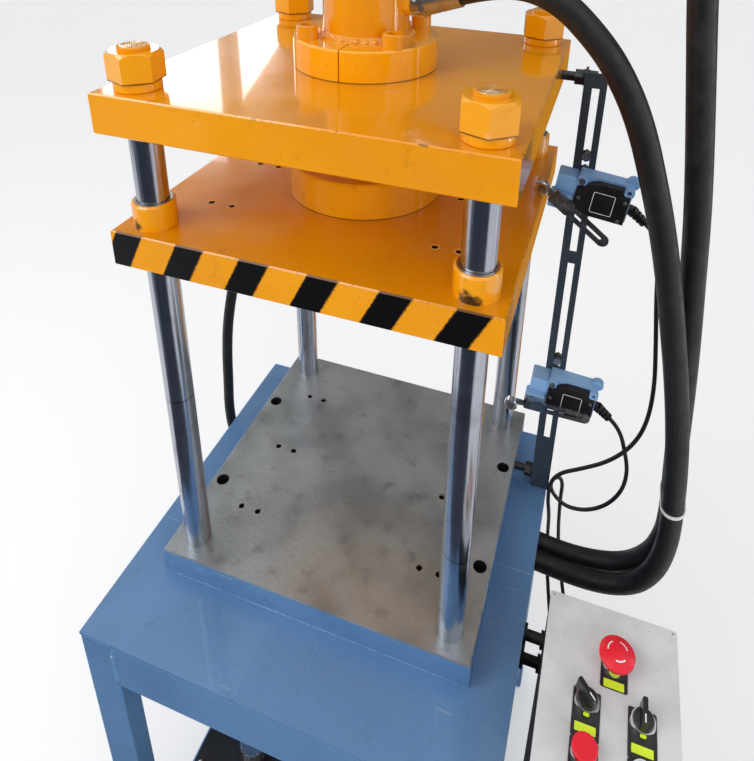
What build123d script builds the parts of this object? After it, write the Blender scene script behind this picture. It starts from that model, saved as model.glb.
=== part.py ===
from build123d import *
import os
from math import cos, pi, radians, sin, tan

# Hydraulic four-column press on a steel table, millimetres.
# Origin: centre of the bolster's top face, +X right, +Y back, +Z up.

# Plates
plate_width = 438
plate_depth = 420
bolster_height = 40
platen_height = 44
upper_plate_height = 45
plate_edge = 1.5

# Guide columns
column_d = 35
column_length = 627
column_inset_x = 35
column_inset_y = 34
column_foot_d = 30
column_seat_depth = 3
column_thread_d = 33
thread_stick_out = 5
nut_flats = 50
nut_height = 31
nut_turn = -80
nut_face_inset = 0.5
washer_d = 49
washer_height = 10
washer_edge = 1
thread_tip_width = 1.5
thread_tip_length = 4

# Ram and its travel
platen_headroom = 115
press_stroke = 287
ram_flange_d = 194
ram_flange_height = 45
ram_screw_d = 12
ram_screw_circle = 156
ram_screw_reach = 20
ram_screw_hole = 25
ram_head_sink = 2
rod_d = 56
spigot_inset = 4
spigot_height = 25
bush_d = 44
bush_collar_d = 48
bush_collar_height = 30
collar_edge = 2
bush_lead = 1.5

# Cylinder
barrel_d = 100
bore_d = 80
barrel_length = 400
flange_d = 170
flange_height = 36
flange_slit = 1.5
flange_edge = 2
flange_screw_d = 16
flange_screw_spread = 102
flange_screw_reach = 18
flange_screw_hole = 30
gland_d = 86
gland_height = 40
gland_nose = 28
gland_edge = 4
gland_lead_width = 6
gland_lead_length = 8
piston_height = 45
piston_edge = 3
seal_groove_top = 22.5
seal_groove_width = 6.75
cap_d = 116
cap_height = 28
cap_edge = 3
cap_spigot = 12
port_rise = 40
port_drop = 28
port_tilt = 18
boss_d = 30
rear_boss_d = 22
boss_height = 6
weld_leg = 6

# Die fixing holes
tapped_hole_d = 8.5
hole_outer_x = 152
hole_inner_x = 125
hole_row_y = 115
screw_hole_x = 203
screw_hole_y = 85
screw_counterbore_d = 19
screw_counterbore_depth = 30
bolster_screw_d = 12
under_nut_height = 10
under_stick_out = 2

# Table
table_side = 54
table_front = 107
table_back = 3
table_sheet = 5
apron_height = 80
apron_depth = 30
leg_width = 50
leg_depth = 30
tube_wall = 3
stand_height = 650
foot_height = 8
foot_overhang = 12
foot_corner = 4
lower_rail_size = 30
lower_rail_rise = 40
cross_rail_inset = 73.2

# Power unit
tank_width = 300
tank_depth = 366
tank_height = 286
tank_front = 283
tank_wall = 3
tank_corner = 8
drain_rise = 25
drain_boss_d = 30
drain_boss_height = 4
drain_flats = 22
drain_height = 10
lid_lip = 7
lid_height = 4
motor_d = 130
motor_height = 175
motor_foot = 14
fan_cover_height = 40
fan_cover_edge = 8
fan_slot_count = 10
fan_slot_length = 26
fan_slot_width = 5
fan_slot_depth = 2
fan_slot_circle = 60
terminal_box_width = 60
terminal_box_height = 50
terminal_box_depth = 28
terminal_rise = 88
terminal_corner = 4
motor_x = -85
motor_y = -40
fin_count = 20
fin_height = 6
fin_width = 3
block_width = 84
block_depth = 110
block_height = 50
block_x = 60
block_y = 67
block_edge = 3
block_port_front = 22
block_port_back = 23
valve_width = 46
valve_depth = 44
valve_height = 46
solenoid_core_d = 22
solenoid_length = 150
coil_size = 40
coil_length = 44
coil_corner = 4
solenoid_rise = 24
return_port = (-125, 62)
filler_x = -78
filler_y = -242
filler_d = 40
filler_neck_d = 30
filler_neck_height = 12
filler_cap_height = 20
grip_flute_d = 3.2
grip_flute_count = 16
grip_edge = 0.6

# Limit switch rail
rail_gap = 28.5
rail_face_y = 100
rail_leg = 28
rail_wall = 3
rail_overrun = 10.5
rail_foot_rise = 2
slot_inset = 15
slot_width = 9
slot_end = 19
slot_web = 18
slot_lengths = (234, 190, 112)
stud_d = 12
stud_grip = 18
stud_seat = 15
stud_y = 114
rail_nut_flats = 19
rail_nut_height = 10
rail_washer_sheet = 2
rail_nut_turn = 15

# Limit switches
switch_left = 7
switch_top = 38.7
switch_length = 68
switch_height = 52
switch_base = 22
switch_cover = 10
switch_corner = 3
head_block = 26
head_block_left = 12.5
head_block_drop = 18
head_face_width = 28
head_face_height = 22
head_face_left = 15.5
head_face_rise = 1
ear_width = 12
ear_height = 11
ear_inset_x = 5
ear_inset_y = 6
ear_step = 2
ear_hole_d = 5.2
end_disc_d = 17
end_disc_depth = 9
end_disc_step = 3
end_disc_flutes = 18
end_disc_flute_d = 1.6
end_disc_inset_x = 2
end_disc_inset_y = 1
cover_inset = 1
cover_right_inset = 2
cover_top_inset = 3
ear_notch_width = 12
ear_notch_depth = 12.5
cover_slope = ((25, 0), (17, 3), (9, 10.5), (0, 15))
ear_screw_d = 4.8
ear_head_d = 8.4
ear_head_height = 3.5
ear_screw_tail = 8
ear_nut_flats = 13
ear_nut_height = 4.5
slot_bolt_d = 6
slot_bolt_rise = 22
slot_bolt_flats = 11
slot_bolt_head = 6
slot_bolt_nut = 5
shaft_d = 8
shaft_reach = 11
roller_inset = 3
arm_length = 39
arm_tail = 71
arm_bar_start = 18.5
arm_bar_width = 16
arm_nose_length = 23
arm_nose_width = 9
arm_nose_overhang = 5
arm_sheet = 2.5
arm_slot = 4
arm_slot_start = 9
arm_slot_margin = 10
hub_length = 32
hub_width = 19
hub_middle = 6
hub_drop = 1
hub_corner = 3
rivet_pitch = 11
rivet_count = 3
rivet_d = 5.2
rivet_height = 1.4
roller_d = 19.2
roller_width = 9.6
roller_gap = 0.4
roller_edge = 1
roller_pin_d = 6.5
pin_head_d = 10
pin_head_height = 1.6
upper_switch_tilt = -7
lower_switch_tilt = -4
upper_arm_turn = -38
arm_front_y = 53
head_front_y = 63

# Control cabinet
cabinet_gap = 26
cabinet_width = 151
cabinet_back_y = -106
cabinet_depth = 224
cabinet_height = 398
cabinet_sheet = 2
cabinet_corner = 3
cabinet_lip = 12
panel_corner = 2
panel_top = 32
cabinet_gland_z = -230
cabinet_gland_x = (325, 350)
cabinet_nut_d = 16
cabinet_nut_height = 6
cabinet_gland_d = 13
cabinet_gland_length = 12
device_hole_d = 22.5
estop_right = 4.5
estop_row = 65
left_column = 23.5
right_column = 35.5
selector_row = 113.5
button_row = 162
legend_width = 30
legend_length = 48
estop_legend_length = 39
legend_sheet = 1
legend_rise = 14
bezel_d = 28
bezel_height = 8
bezel_taper = 8
barrel_below = 14
ring_nut_d = 28
ring_nut_height = 4
contact_width = 28
contact_depth = 24
contact_height = 26
guide_d = 16
plunger_d = 21
plunger_below = 6
button_rise = 3
button_edge = 1.2
button_travel = 3
red_cap_d = 27
red_cap_height = 5
estop_d = 40
estop_rise = 19
estop_height = 12
estop_neck_d = 10
estop_neck_height = 5
estop_skirt_d = 30
estop_rim_low = 2.5
estop_rim_high = 6
knob_d = 23
knob_below = 5
knob_collar_height = 4
knob_taper = 12
grip_length = 28
grip_width = 8.5
grip_height = 15
grip_offset = 3
grip_taper = 6
grip_corner = 3
arm_tube_d = 14
arm_pad_d = 26
arm_boss_d = 22
arm_pad_sheet = 4
arm_back = 9
arm_front = 40
arm_high = 12
arm_low = 18

# Hoses and cables
hose_d = 30
rear_hose_d = 18
cable_d = 6
upper_cable_lead = 22
lower_cable_lead = 20
ferrule_length = 40
hex_length = 12
collar_length = 6
collar_sink = 2
collar_ratio = 0.7
neck_ratio = 0.62
hex_ratio = 1.05
hex_neck = 5.4
ferrule_wall = 2
crimp_place = 14
crimp_width = 3
crimp_depth = 0.8
port_lead = 50
tie_width = 5
tie_sheet = 1.4

# Boots on the switches' cables
boot_d = 15
boot_root_d = 10.4
boot_neck = 5
boot_pitch = 6
boot_ribs = 3
boot_rib_inset = 0.55
boot_rib_drop = 0.3
boot_length = 26
boot_turn = -40
boot_height = 17
boot_back = 8
boot_collar_d = 14
boot_collar_length = 6
boot_sink = 1

# Screws: head, socket and nut as shares of the thread
cap_head_ratio = 0.75
socket_ratio = 0.42
head_edge_ratio = 0.0625
nut_ratio = 0.75

# Clearances
shank_gap = 0.75
head_gap = 0.5
cut_overrun = 2
seat_gap = 0.3
slide_gap = 0.05
thread_gap = 0.05
end_gap = 1.4

# Levels and places that follow from the sizes above
half_width = plate_width / 2
half_depth = plate_depth / 2
column_x = half_width - column_inset_x
column_y = half_depth - column_inset_y
column_places = {
    "front_left": (-column_x, -column_y),
    "front_right": (column_x, -column_y),
    "back_left": (-column_x, column_y),
    "back_right": (column_x, column_y),
}
upper_plate_top = column_length + upper_plate_height
platen_top = column_length - platen_headroom
platen_bottom = platen_top - platen_height
ram_seat = platen_top + ram_flange_height - ram_screw_d - ram_head_sink
rod_foot = platen_top + ram_flange_height - spigot_height
flange_top = upper_plate_top + flange_height
barrel_top = flange_top + barrel_length
lower_port_z = flange_top + port_rise
upper_port_z = barrel_top - port_drop
port_face = barrel_d / 2 + boss_height
piston_top = barrel_top - cap_spigot - seat_gap
table_top_z = -bolster_height
table_under = table_top_z - table_sheet
floor_z = table_top_z - stand_height
table_x = half_width + table_side
table_y_front = -(half_depth + table_front)
table_y_back = half_depth - table_back
lower_rail_z = floor_z + lower_rail_rise
tank_base_z = lower_rail_z + lower_rail_size
lid_z = tank_base_z + tank_height
lid_top = lid_z + lid_height
rail_x = half_width + rail_gap
rail_bottom = -bolster_height + rail_foot_rise
upper_stud_z = column_length + upper_plate_height / 2
lower_stud_z = -bolster_height / 2
rail_top = upper_stud_z + rail_overrun
slot_x = rail_x + slot_inset
cabinet_x = table_x + cabinet_gap
panel_x = cabinet_x + cabinet_width / 2
roller_r = roller_d / 2
upper_roller_z = platen_top + seat_gap + roller_r
upper_pivot_x = half_width - roller_inset + arm_length * cos(radians(upper_arm_turn))
upper_pivot_z = upper_roller_z + arm_length * sin(radians(upper_arm_turn))
lower_pivot_x = upper_pivot_x
lower_pivot_z = platen_bottom - press_stroke - end_gap - roller_r

device_places = {
    "estop": (panel_x + estop_right, cabinet_back_y - estop_row),
    "left_selector": (panel_x - left_column, cabinet_back_y - selector_row),
    "right_selector": (panel_x + right_column, cabinet_back_y - selector_row),
    "red_button": (panel_x - left_column, cabinet_back_y - button_row),
    "green_button": (panel_x + right_column, cabinet_back_y - button_row),
}


def save(builder, node):
    """Labels a finished piece and writes its STEP file."""
    builder.part.label = node
    export_step(builder.part, f"parts/{node}.step")


def four(x, y):
    """The four corners of a rectangle about the origin."""
    return [(-x, -y), (x, -y), (-x, y), (x, y)]


def cap_screws(places, thread_d, tip_z, seat_z):
    """Socket cap screws from their tips up to the heads that stand on their seats."""
    with BuildPart() as screws:
        with BuildSketch(Plane.XY.offset(tip_z)):
            with Locations(*places):
                Circle(thread_d / 2)
        extrude(amount=seat_z - tip_z)
        with BuildSketch(Plane.XY.offset(seat_z)):
            with Locations(*places):
                Circle(thread_d * cap_head_ratio)
        extrude(amount=thread_d)
        head_tops = screws.faces().sort_by(Axis.Z)[-len(places) :]
        chamfer(head_tops.edges(), length=thread_d * head_edge_ratio)
        with BuildSketch(Plane.XY.offset(seat_z + thread_d)):
            with Locations(*places):
                RegularPolygon(radius=thread_d * socket_ratio, side_count=6, major_radius=False)
        extrude(amount=-thread_d / 2, mode=Mode.SUBTRACT)
    return screws.part


def square_tubes(places, width, height):
    """Cross-section of box tubes at the given places, for the sketch that calls it."""
    with BuildSketch(mode=Mode.PRIVATE) as section:
        with Locations(*places):
            RectangleRounded(width, height, tube_wall)
            Rectangle(width - 2 * tube_wall, height - 2 * tube_wall, mode=Mode.SUBTRACT)
    return section.sketch


def route_radii(points):
    """Largest even bend at each inner point: 0.45 of the shorter run over tan(half turn)."""
    radii = []
    for before, here, after in zip(points, points[1:], points[2:]):
        run_in = Vector(*here) - Vector(*before)
        run_out = Vector(*after) - Vector(*here)
        half_turn = radians(run_in.get_angle(run_out)) / 2
        radii.append(0.45 * min(run_in.length, run_out.length) / tan(half_turn))
    return radii


def tube_along(points, outer_d, node):
    """A plain round tube of straight runs joined by tangent arcs, written as a node."""
    radii = route_radii(points)
    with BuildPart() as cord:
        with BuildLine():
            path = FilletPolyline(*points, radius=radii)
        with BuildSketch(Plane(origin=path @ 0, z_dir=path % 0)):
            Circle(outer_d / 2)
        sweep(path=path)
    section = pi * outer_d**2 / 4
    share = cord.part.volume / (section * path.length)
    print(node, "length", round(path.length), "volume share", round(share, 4), end=" ")
    print("radii", [round(r) for r in radii])
    save(cord, node)


def ferrule(origin, port_normal, direction, hose_size):
    """Collar on a port face, then hexagon and crimped ferrule along a direction."""
    collar = Plane(origin=origin, z_dir=port_normal)
    seat = Plane(origin=collar.offset(collar_length - collar_sink).origin, z_dir=direction)
    hose_r = hose_size / 2
    with BuildPart() as fitting:
        with BuildSketch(collar):
            Circle(hose_r * collar_ratio)
        extrude(amount=collar_length)
        with BuildSketch(seat):
            Circle(hose_r * neck_ratio)
        extrude(amount=hex_length)
        with BuildSketch(seat.offset(hex_neck)):
            RegularPolygon(radius=hose_r * hex_ratio, side_count=6, major_radius=False)
        extrude(amount=hex_length - hex_neck)
        with BuildSketch(seat.offset(hex_length)):
            Circle(hose_r + ferrule_wall)
        extrude(amount=ferrule_length)
        with BuildSketch(seat.offset(hex_length + crimp_place)):
            Circle(hose_r + ferrule_wall + crimp_depth)
            Circle(hose_r + ferrule_wall - crimp_depth, mode=Mode.SUBTRACT)
        extrude(amount=crimp_width, mode=Mode.SUBTRACT)
    return fitting.part


os.makedirs("parts", exist_ok=True)

# Table: four tube legs with foot plates, apron tubes, sheet top and lower rails
leg_x = table_x - leg_width / 2
leg_places = {
    "leg_front_left": (-leg_x, table_y_front + leg_depth / 2),
    "leg_front_right": (leg_x, table_y_front + leg_depth / 2),
    "leg_back_left": (-leg_x, table_y_back - leg_depth / 2),
    "leg_back_right": (leg_x, table_y_back - leg_depth / 2),
}
for leg_name, leg_place in leg_places.items():
    with BuildPart() as leg:
        with BuildSketch(Plane.XY.offset(floor_z)):
            with Locations(leg_place):
                RectangleRounded(leg_width + foot_overhang, leg_depth + foot_overhang, foot_corner)
        extrude(amount=foot_height)
        with BuildSketch(Plane.XY.offset(floor_z + foot_height)):
            add(square_tubes([leg_place], leg_width, leg_depth))
        extrude(amount=table_under - floor_z - foot_height)
    save(leg, leg_name)

side_rail_start = table_y_front + leg_depth
side_rail_length = table_y_back - leg_depth - side_rail_start
end_rail_length = 2 * (table_x - leg_width)
apron_z = table_under - apron_height / 2
with BuildPart() as apron_rails:
    side_apron_x = table_x - apron_depth / 2
    front_apron_y = table_y_front + apron_depth / 2
    back_apron_y = table_y_back - apron_depth / 2
    with BuildSketch(Plane.XZ.offset(-side_rail_start)):
        add(square_tubes([(-side_apron_x, apron_z), (side_apron_x, apron_z)], apron_depth, apron_height))
    extrude(amount=-side_rail_length)
    with BuildSketch(Plane.YZ.offset(-end_rail_length / 2)):
        add(square_tubes([(front_apron_y, apron_z), (back_apron_y, apron_z)], apron_depth, apron_height))
    extrude(amount=end_rail_length)
save(apron_rails, "apron_rails")

cross_rail_length = 2 * leg_x - lower_rail_size - 2 * seat_gap
with BuildPart() as lower_rails:
    rail_middle_z = lower_rail_z + lower_rail_size / 2
    front_cross_y = -tank_front + cross_rail_inset
    back_cross_y = -tank_front + tank_depth - cross_rail_inset
    with BuildSketch(Plane.XZ.offset(-side_rail_start)):
        add(square_tubes([(-leg_x, rail_middle_z), (leg_x, rail_middle_z)], lower_rail_size, lower_rail_size))
    extrude(amount=-side_rail_length)
    with BuildSketch(Plane.YZ.offset(-cross_rail_length / 2)):
        cross_places = [(front_cross_y, rail_middle_z), (back_cross_y, rail_middle_z)]
        add(square_tubes(cross_places, lower_rail_size, lower_rail_size))
    extrude(amount=cross_rail_length)
save(lower_rails, "lower_rails")

with BuildPart() as table_top:
    with BuildSketch(Plane.XY.offset(table_under)):
        with Locations((0, (table_y_front + table_y_back) / 2)):
            Rectangle(2 * table_x, table_y_back - table_y_front)
        with Locations(*four(screw_hole_x, screw_hole_y)):
            Circle(bolster_screw_d / 2 + shank_gap, mode=Mode.SUBTRACT)
    extrude(amount=table_sheet)
save(table_top, "table_top")

# Bolster: ground steel plate with threaded column seats, sunk screws and tapped die holes
with BuildPart() as bolster:
    with BuildSketch(Plane.XY.offset(-bolster_height)):
        Rectangle(plate_width, plate_depth)
    extrude(amount=bolster_height)
    chamfer(bolster.faces().sort_by(Axis.Z)[-1].edges(), length=plate_edge)
    with Locations(Plane.XY):
        with Locations(*column_places.values()):
            CounterBoreHole(column_foot_d / 2 + thread_gap, column_d / 2 + slide_gap, column_seat_depth)
        with Locations(*four(screw_hole_x, screw_hole_y)):
            CounterBoreHole(bolster_screw_d / 2 + shank_gap, screw_counterbore_d / 2, screw_counterbore_depth)
        with GridLocations(2 * hole_outer_x, hole_row_y, 2, 3):
            Hole(tapped_hole_d / 2)
        with GridLocations(2 * hole_inner_x, hole_row_y, 2, 3):
            Hole(tapped_hole_d / 2)
    with Locations(Plane(origin=(half_width, stud_y, lower_stud_z), z_dir=(1, 0, 0))):
        Hole(stud_d / 2 + thread_gap, depth=stud_seat + seat_gap)
save(bolster, "bolster")

under_tip_z = table_under - under_nut_height - under_stick_out
with BuildPart() as bolster_screws:
    add(cap_screws(four(screw_hole_x, screw_hole_y), bolster_screw_d, under_tip_z, -screw_counterbore_depth))
    with BuildSketch(Plane.XY.offset(table_under)):
        with Locations(*four(screw_hole_x, screw_hole_y)):
            RegularPolygon(radius=bolster_screw_d * nut_ratio, side_count=6, major_radius=False)
    extrude(amount=-under_nut_height)
save(bolster_screws, "bolster_screws")

# Guide columns: ground shank between a threaded foot and a threaded top
column_top = upper_plate_top + washer_height + nut_height + thread_stick_out
for corner, (x, y) in column_places.items():
    with BuildPart() as column:
        with BuildSketch(Plane.XY.offset(-bolster_height)):
            with Locations((x, y)):
                Circle(column_foot_d / 2)
        extrude(amount=bolster_height - column_seat_depth)
        with BuildSketch(Plane.XY.offset(-column_seat_depth)):
            with Locations((x, y)):
                Circle(column_d / 2)
        extrude(amount=column_length + column_seat_depth)
        with BuildSketch(Plane.XY.offset(column_length)):
            with Locations((x, y)):
                Circle(column_thread_d / 2)
        extrude(amount=column_top - column_length)
        thread_tip = column.faces().sort_by(Axis.Z)[-1]
        chamfer(thread_tip.edges(), length=thread_tip_width, length2=thread_tip_length)
    save(column, f"column_{corner}")

nut_base = upper_plate_top + washer_height
with BuildPart() as column_nuts:
    with BuildSketch(Plane.XY.offset(nut_base)):
        with Locations(*column_places.values()):
            RegularPolygon(radius=nut_flats / 2, side_count=6, major_radius=False, rotation=nut_turn)
            Circle(column_thread_d / 2 + thread_gap, mode=Mode.SUBTRACT)
    extrude(amount=nut_height)
    with BuildSketch(Plane.XY.offset(nut_base - cut_overrun)):
        with Locations(*column_places.values()):
            Circle(nut_flats / 2 - nut_face_inset + nut_height + cut_overrun)
    extrude(amount=nut_height + cut_overrun, taper=45, mode=Mode.INTERSECT)
save(column_nuts, "column_nuts")

with BuildPart() as column_washers:
    with BuildSketch(Plane.XY.offset(upper_plate_top)):
        with Locations(*column_places.values()):
            Circle(washer_d / 2)
            Circle(column_thread_d / 2 + seat_gap, mode=Mode.SUBTRACT)
    extrude(amount=washer_height)
    washer_rims = column_washers.faces().filter_by(Axis.Z).edges()
    chamfer(washer_rims.filter_by(lambda e: e.radius > column_d / 2), length=washer_edge)
save(column_washers, "column_washers")

# Upper plate: carries the cylinder and is held by the column nuts
screw_spread = flange_screw_spread / 2
with BuildPart() as upper_plate:
    with BuildSketch(Plane.XY.offset(column_length)):
        Rectangle(plate_width, plate_depth)
    extrude(amount=upper_plate_height)
    plate_top_face = upper_plate.faces().sort_by(Axis.Z)[-1]
    plate_low_face = upper_plate.faces().sort_by(Axis.Z)[0]
    chamfer(plate_top_face.edges() + plate_low_face.edges(), length=plate_edge)
    with Locations(Plane.XY.offset(upper_plate_top)):
        with Locations(*column_places.values()):
            Hole(column_thread_d / 2 + seat_gap)
        Hole(gland_d / 2 + seat_gap)
        with Locations(*four(screw_spread, screw_spread)):
            Hole(flange_screw_d / 2 + thread_gap, depth=flange_screw_hole)
    with Locations(Plane(origin=(half_width, stud_y, upper_stud_z), z_dir=(1, 0, 0))):
        Hole(stud_d / 2 + thread_gap, depth=stud_seat + seat_gap)
save(upper_plate, "upper_plate")

# Cylinder: flange, welded barrel with port bosses, gland, end cap and screws
with BuildPart() as cylinder_flange:
    with BuildSketch(Plane.XY.offset(upper_plate_top)):
        Circle(flange_d / 2)
        Circle(barrel_d / 2, mode=Mode.SUBTRACT)
        with Locations(*four(screw_spread, screw_spread)):
            Circle(flange_screw_d / 2 + shank_gap, mode=Mode.SUBTRACT)
        with Locations((flange_slit, -(flange_d + barrel_d) / 4)):
            Rectangle(flange_slit, (flange_d - barrel_d) / 2 + 2 * cut_overrun, mode=Mode.SUBTRACT)
    extrude(amount=flange_height)
    flange_rims = cylinder_flange.faces().sort_by(Axis.Z)[-1].edges().filter_by(GeomType.CIRCLE)
    chamfer(flange_rims.filter_by(lambda e: e.radius > barrel_d / 2 + flange_edge), length=flange_edge)
save(cylinder_flange, "cylinder_flange")

boss_root = boss_height + (barrel_d - bore_d) / 2 - cut_overrun
with BuildPart() as cylinder_barrel:
    with BuildSketch(Plane.XZ):
        with BuildLine():
            weld_foot = barrel_d / 2 + weld_leg
            Polyline(
                (bore_d / 2, barrel_top),
                (barrel_d / 2, barrel_top),
                (barrel_d / 2, flange_top + weld_leg),
                (weld_foot, flange_top),
                (barrel_d / 2, flange_top),
                (barrel_d / 2, upper_plate_top),
                (bore_d / 2, upper_plate_top),
                close=True,
            )
        make_face()
    revolve(axis=Axis.Z)
    for port_height in (lower_port_z, upper_port_z):
        with BuildSketch(Plane(origin=(port_face, 0, port_height), z_dir=(1, 0, 0))):
            Circle(boss_d / 2)
        extrude(amount=-boss_root)
    with BuildSketch(Plane(origin=(0, port_face, upper_port_z), z_dir=(0, 1, 0))):
        Circle(rear_boss_d / 2)
    extrude(amount=-boss_root)
save(cylinder_barrel, "cylinder_barrel")

gland_base = upper_plate_top - gland_height
with BuildPart() as rod_gland:
    with BuildSketch(Plane.XZ):
        with BuildLine():
            Polyline(
                (rod_d / 2 + slide_gap, gland_base + gland_lead_length),
                (rod_d / 2 + gland_lead_width, gland_base),
                (gland_d / 2 - gland_edge, gland_base),
                (gland_d / 2, gland_base + gland_edge),
                (gland_d / 2, upper_plate_top),
                (bore_d / 2, upper_plate_top),
                (bore_d / 2, upper_plate_top + gland_nose),
                (rod_d / 2 + slide_gap, upper_plate_top + gland_nose),
                close=True,
            )
        make_face()
    revolve(axis=Axis.Z)
save(rod_gland, "rod_gland")

with BuildPart() as cylinder_cap:
    with BuildSketch(Plane.XY.offset(barrel_top)):
        Circle(cap_d / 2)
    extrude(amount=cap_height)
    chamfer(cylinder_cap.faces().sort_by(Axis.Z)[-1].edges(), length=cap_edge)
    with BuildSketch(Plane.XY.offset(barrel_top)):
        Circle(bore_d / 2)
    extrude(amount=-cap_spigot)
save(cylinder_cap, "cylinder_cap")

flange_tip_z = upper_plate_top - flange_screw_reach
with BuildPart() as flange_screws:
    add(cap_screws(four(screw_spread, screw_spread), flange_screw_d, flange_tip_z, flange_top))
save(flange_screws, "flange_screws")

# Moving crosshead: platen, guide bushes, ram flange, screws and rod with piston
ram_screw_x = ram_screw_circle / 2 * cos(radians(45))
with BuildPart() as platen:
    with BuildSketch(Plane.XY.offset(platen_bottom)):
        Rectangle(plate_width, plate_depth)
    extrude(amount=platen_height)
    platen_rims = platen.faces().sort_by(Axis.Z)[-1].edges() + platen.faces().sort_by(Axis.Z)[0].edges()
    chamfer(platen_rims, length=plate_edge)
    with Locations(Plane.XY.offset(platen_top)):
        with Locations(*column_places.values()):
            Hole(bush_d / 2)
        with GridLocations(2 * hole_outer_x, hole_row_y, 2, 3):
            Hole(tapped_hole_d / 2)
        with GridLocations(2 * hole_inner_x, hole_row_y, 2, 3):
            Hole(tapped_hole_d / 2)
        with Locations(*four(ram_screw_x, ram_screw_x)):
            Hole(ram_screw_d / 2 + thread_gap, depth=ram_screw_hole)
save(platen, "platen")

with BuildPart() as guide_bushes:
    with BuildSketch(Plane.XY.offset(platen_bottom)):
        with Locations(*column_places.values()):
            Circle(bush_d / 2)
    extrude(amount=platen_height)
    with BuildSketch(Plane.XY.offset(platen_top)):
        with Locations(*column_places.values()):
            Circle(bush_collar_d / 2)
    extrude(amount=bush_collar_height)
    chamfer(guide_bushes.faces().sort_by(Axis.Z)[-4:].edges(), length=collar_edge)
    with BuildSketch(Plane.XY.offset(platen_bottom)):
        with Locations(*column_places.values()):
            Circle(column_d / 2 + slide_gap)
    extrude(amount=platen_height + bush_collar_height, mode=Mode.SUBTRACT)
    bush_rims = guide_bushes.faces().sort_by(Axis.Z)[-4:].edges()
    chamfer(bush_rims.filter_by(lambda e: e.radius < column_d / 2 + seat_gap), length=bush_lead)
save(guide_bushes, "guide_bushes")

with BuildPart() as ram_flange:
    with BuildSketch(Plane.XY.offset(platen_top)):
        Circle(ram_flange_d / 2)
    extrude(amount=ram_flange_height)
    chamfer(ram_flange.faces().sort_by(Axis.Z)[-1].edges(), length=collar_edge)
    with Locations(Plane.XY.offset(platen_top + ram_flange_height)):
        Hole(rod_d / 2 - spigot_inset + thread_gap, depth=spigot_height)
        with Locations(*four(ram_screw_x, ram_screw_x)):
            head_seat_r = ram_screw_d * cap_head_ratio + head_gap
            CounterBoreHole(ram_screw_d / 2 + shank_gap, head_seat_r, ram_screw_d + ram_head_sink)
save(ram_flange, "ram_flange")

with BuildPart() as ram_screws:
    add(cap_screws(four(ram_screw_x, ram_screw_x), ram_screw_d, platen_top - ram_screw_reach, ram_seat))
save(ram_screws, "ram_screws")

spigot_r = rod_d / 2 - spigot_inset
piston_r = bore_d / 2 - slide_gap
groove_r = bore_d / 2 - piston_edge
groove_top = piston_top - seal_groove_top
with BuildPart() as ram_rod:
    with BuildSketch(Plane.XZ):
        with BuildLine():
            Polyline(
                (0, rod_foot + seat_gap),
                (spigot_r, rod_foot + seat_gap),
                (spigot_r, rod_foot + spigot_height),
                (rod_d / 2, rod_foot + spigot_height),
                (rod_d / 2, piston_top - piston_height),
                (piston_r, piston_top - piston_height),
                (piston_r, groove_top - seal_groove_width),
                (groove_r, groove_top - seal_groove_width),
                (groove_r, groove_top),
                (piston_r, groove_top),
                (piston_r, piston_top - piston_edge),
                (groove_r, piston_top),
                (0, piston_top),
                close=True,
            )
        make_face()
    revolve(axis=Axis.Z)
save(ram_rod, "ram_rod")

# Switch rail: slotted angle held off the plates by studs
slot_tops = []
next_top = rail_top - slot_end
for slot_length in slot_lengths:
    slot_tops.append((next_top, slot_length))
    next_top -= slot_length + slot_web
with BuildPart() as switch_rail:
    with BuildSketch(Plane.XY.offset(rail_bottom)):
        with BuildLine():
            Polyline(
                (rail_x, rail_face_y),
                (rail_x + rail_leg, rail_face_y),
                (rail_x + rail_leg, rail_face_y + rail_wall),
                (rail_x + rail_wall, rail_face_y + rail_wall),
                (rail_x + rail_wall, rail_face_y + rail_leg),
                (rail_x, rail_face_y + rail_leg),
                close=True,
            )
        make_face()
    extrude(amount=rail_top - rail_bottom)
    with BuildSketch(Plane.XZ.offset(-rail_face_y)):
        for top_z, slot_length in slot_tops:
            with Locations((slot_x, top_z - slot_length / 2)):
                Rectangle(slot_width, slot_length)
    extrude(amount=-rail_wall, mode=Mode.SUBTRACT)
    with BuildSketch(Plane.YZ.offset(rail_x)):
        with Locations((stud_y, upper_stud_z), (stud_y, lower_stud_z)):
            Circle(stud_d / 2 + head_gap)
    extrude(amount=rail_wall, mode=Mode.SUBTRACT)
save(switch_rail, "switch_rail")

with BuildPart() as rail_studs:
    for stud_z in (upper_stud_z, lower_stud_z):
        stud_start = Plane(origin=(half_width - stud_seat, stud_y, stud_z), z_dir=(1, 0, 0))
        with BuildSketch(stud_start):
            Circle(stud_d / 2)
        extrude(amount=stud_seat + rail_gap + stud_grip)
        inner_nut_x = rail_x - rail_washer_sheet - rail_nut_height
        outer_nut_x = rail_x + rail_wall + rail_washer_sheet
        for nut_x in (inner_nut_x, outer_nut_x):
            with BuildSketch(Plane(origin=(nut_x, stud_y, stud_z), z_dir=(1, 0, 0))):
                hex_r = rail_nut_flats / 2
                RegularPolygon(radius=hex_r, side_count=6, major_radius=False, rotation=rail_nut_turn)
                Circle(stud_d / 2 + thread_gap, mode=Mode.SUBTRACT)
            extrude(amount=rail_nut_height, mode=Mode.ADD)
        for washer_x in (rail_x - rail_washer_sheet, rail_x + rail_wall):
            with BuildSketch(Plane(origin=(washer_x, stud_y, stud_z), z_dir=(1, 0, 0))):
                Circle(rail_nut_flats / 2 + washer_edge)
                Circle(stud_d / 2 + thread_gap, mode=Mode.SUBTRACT)
            extrude(amount=rail_washer_sheet, mode=Mode.ADD)
save(rail_studs, "rail_studs")


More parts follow.
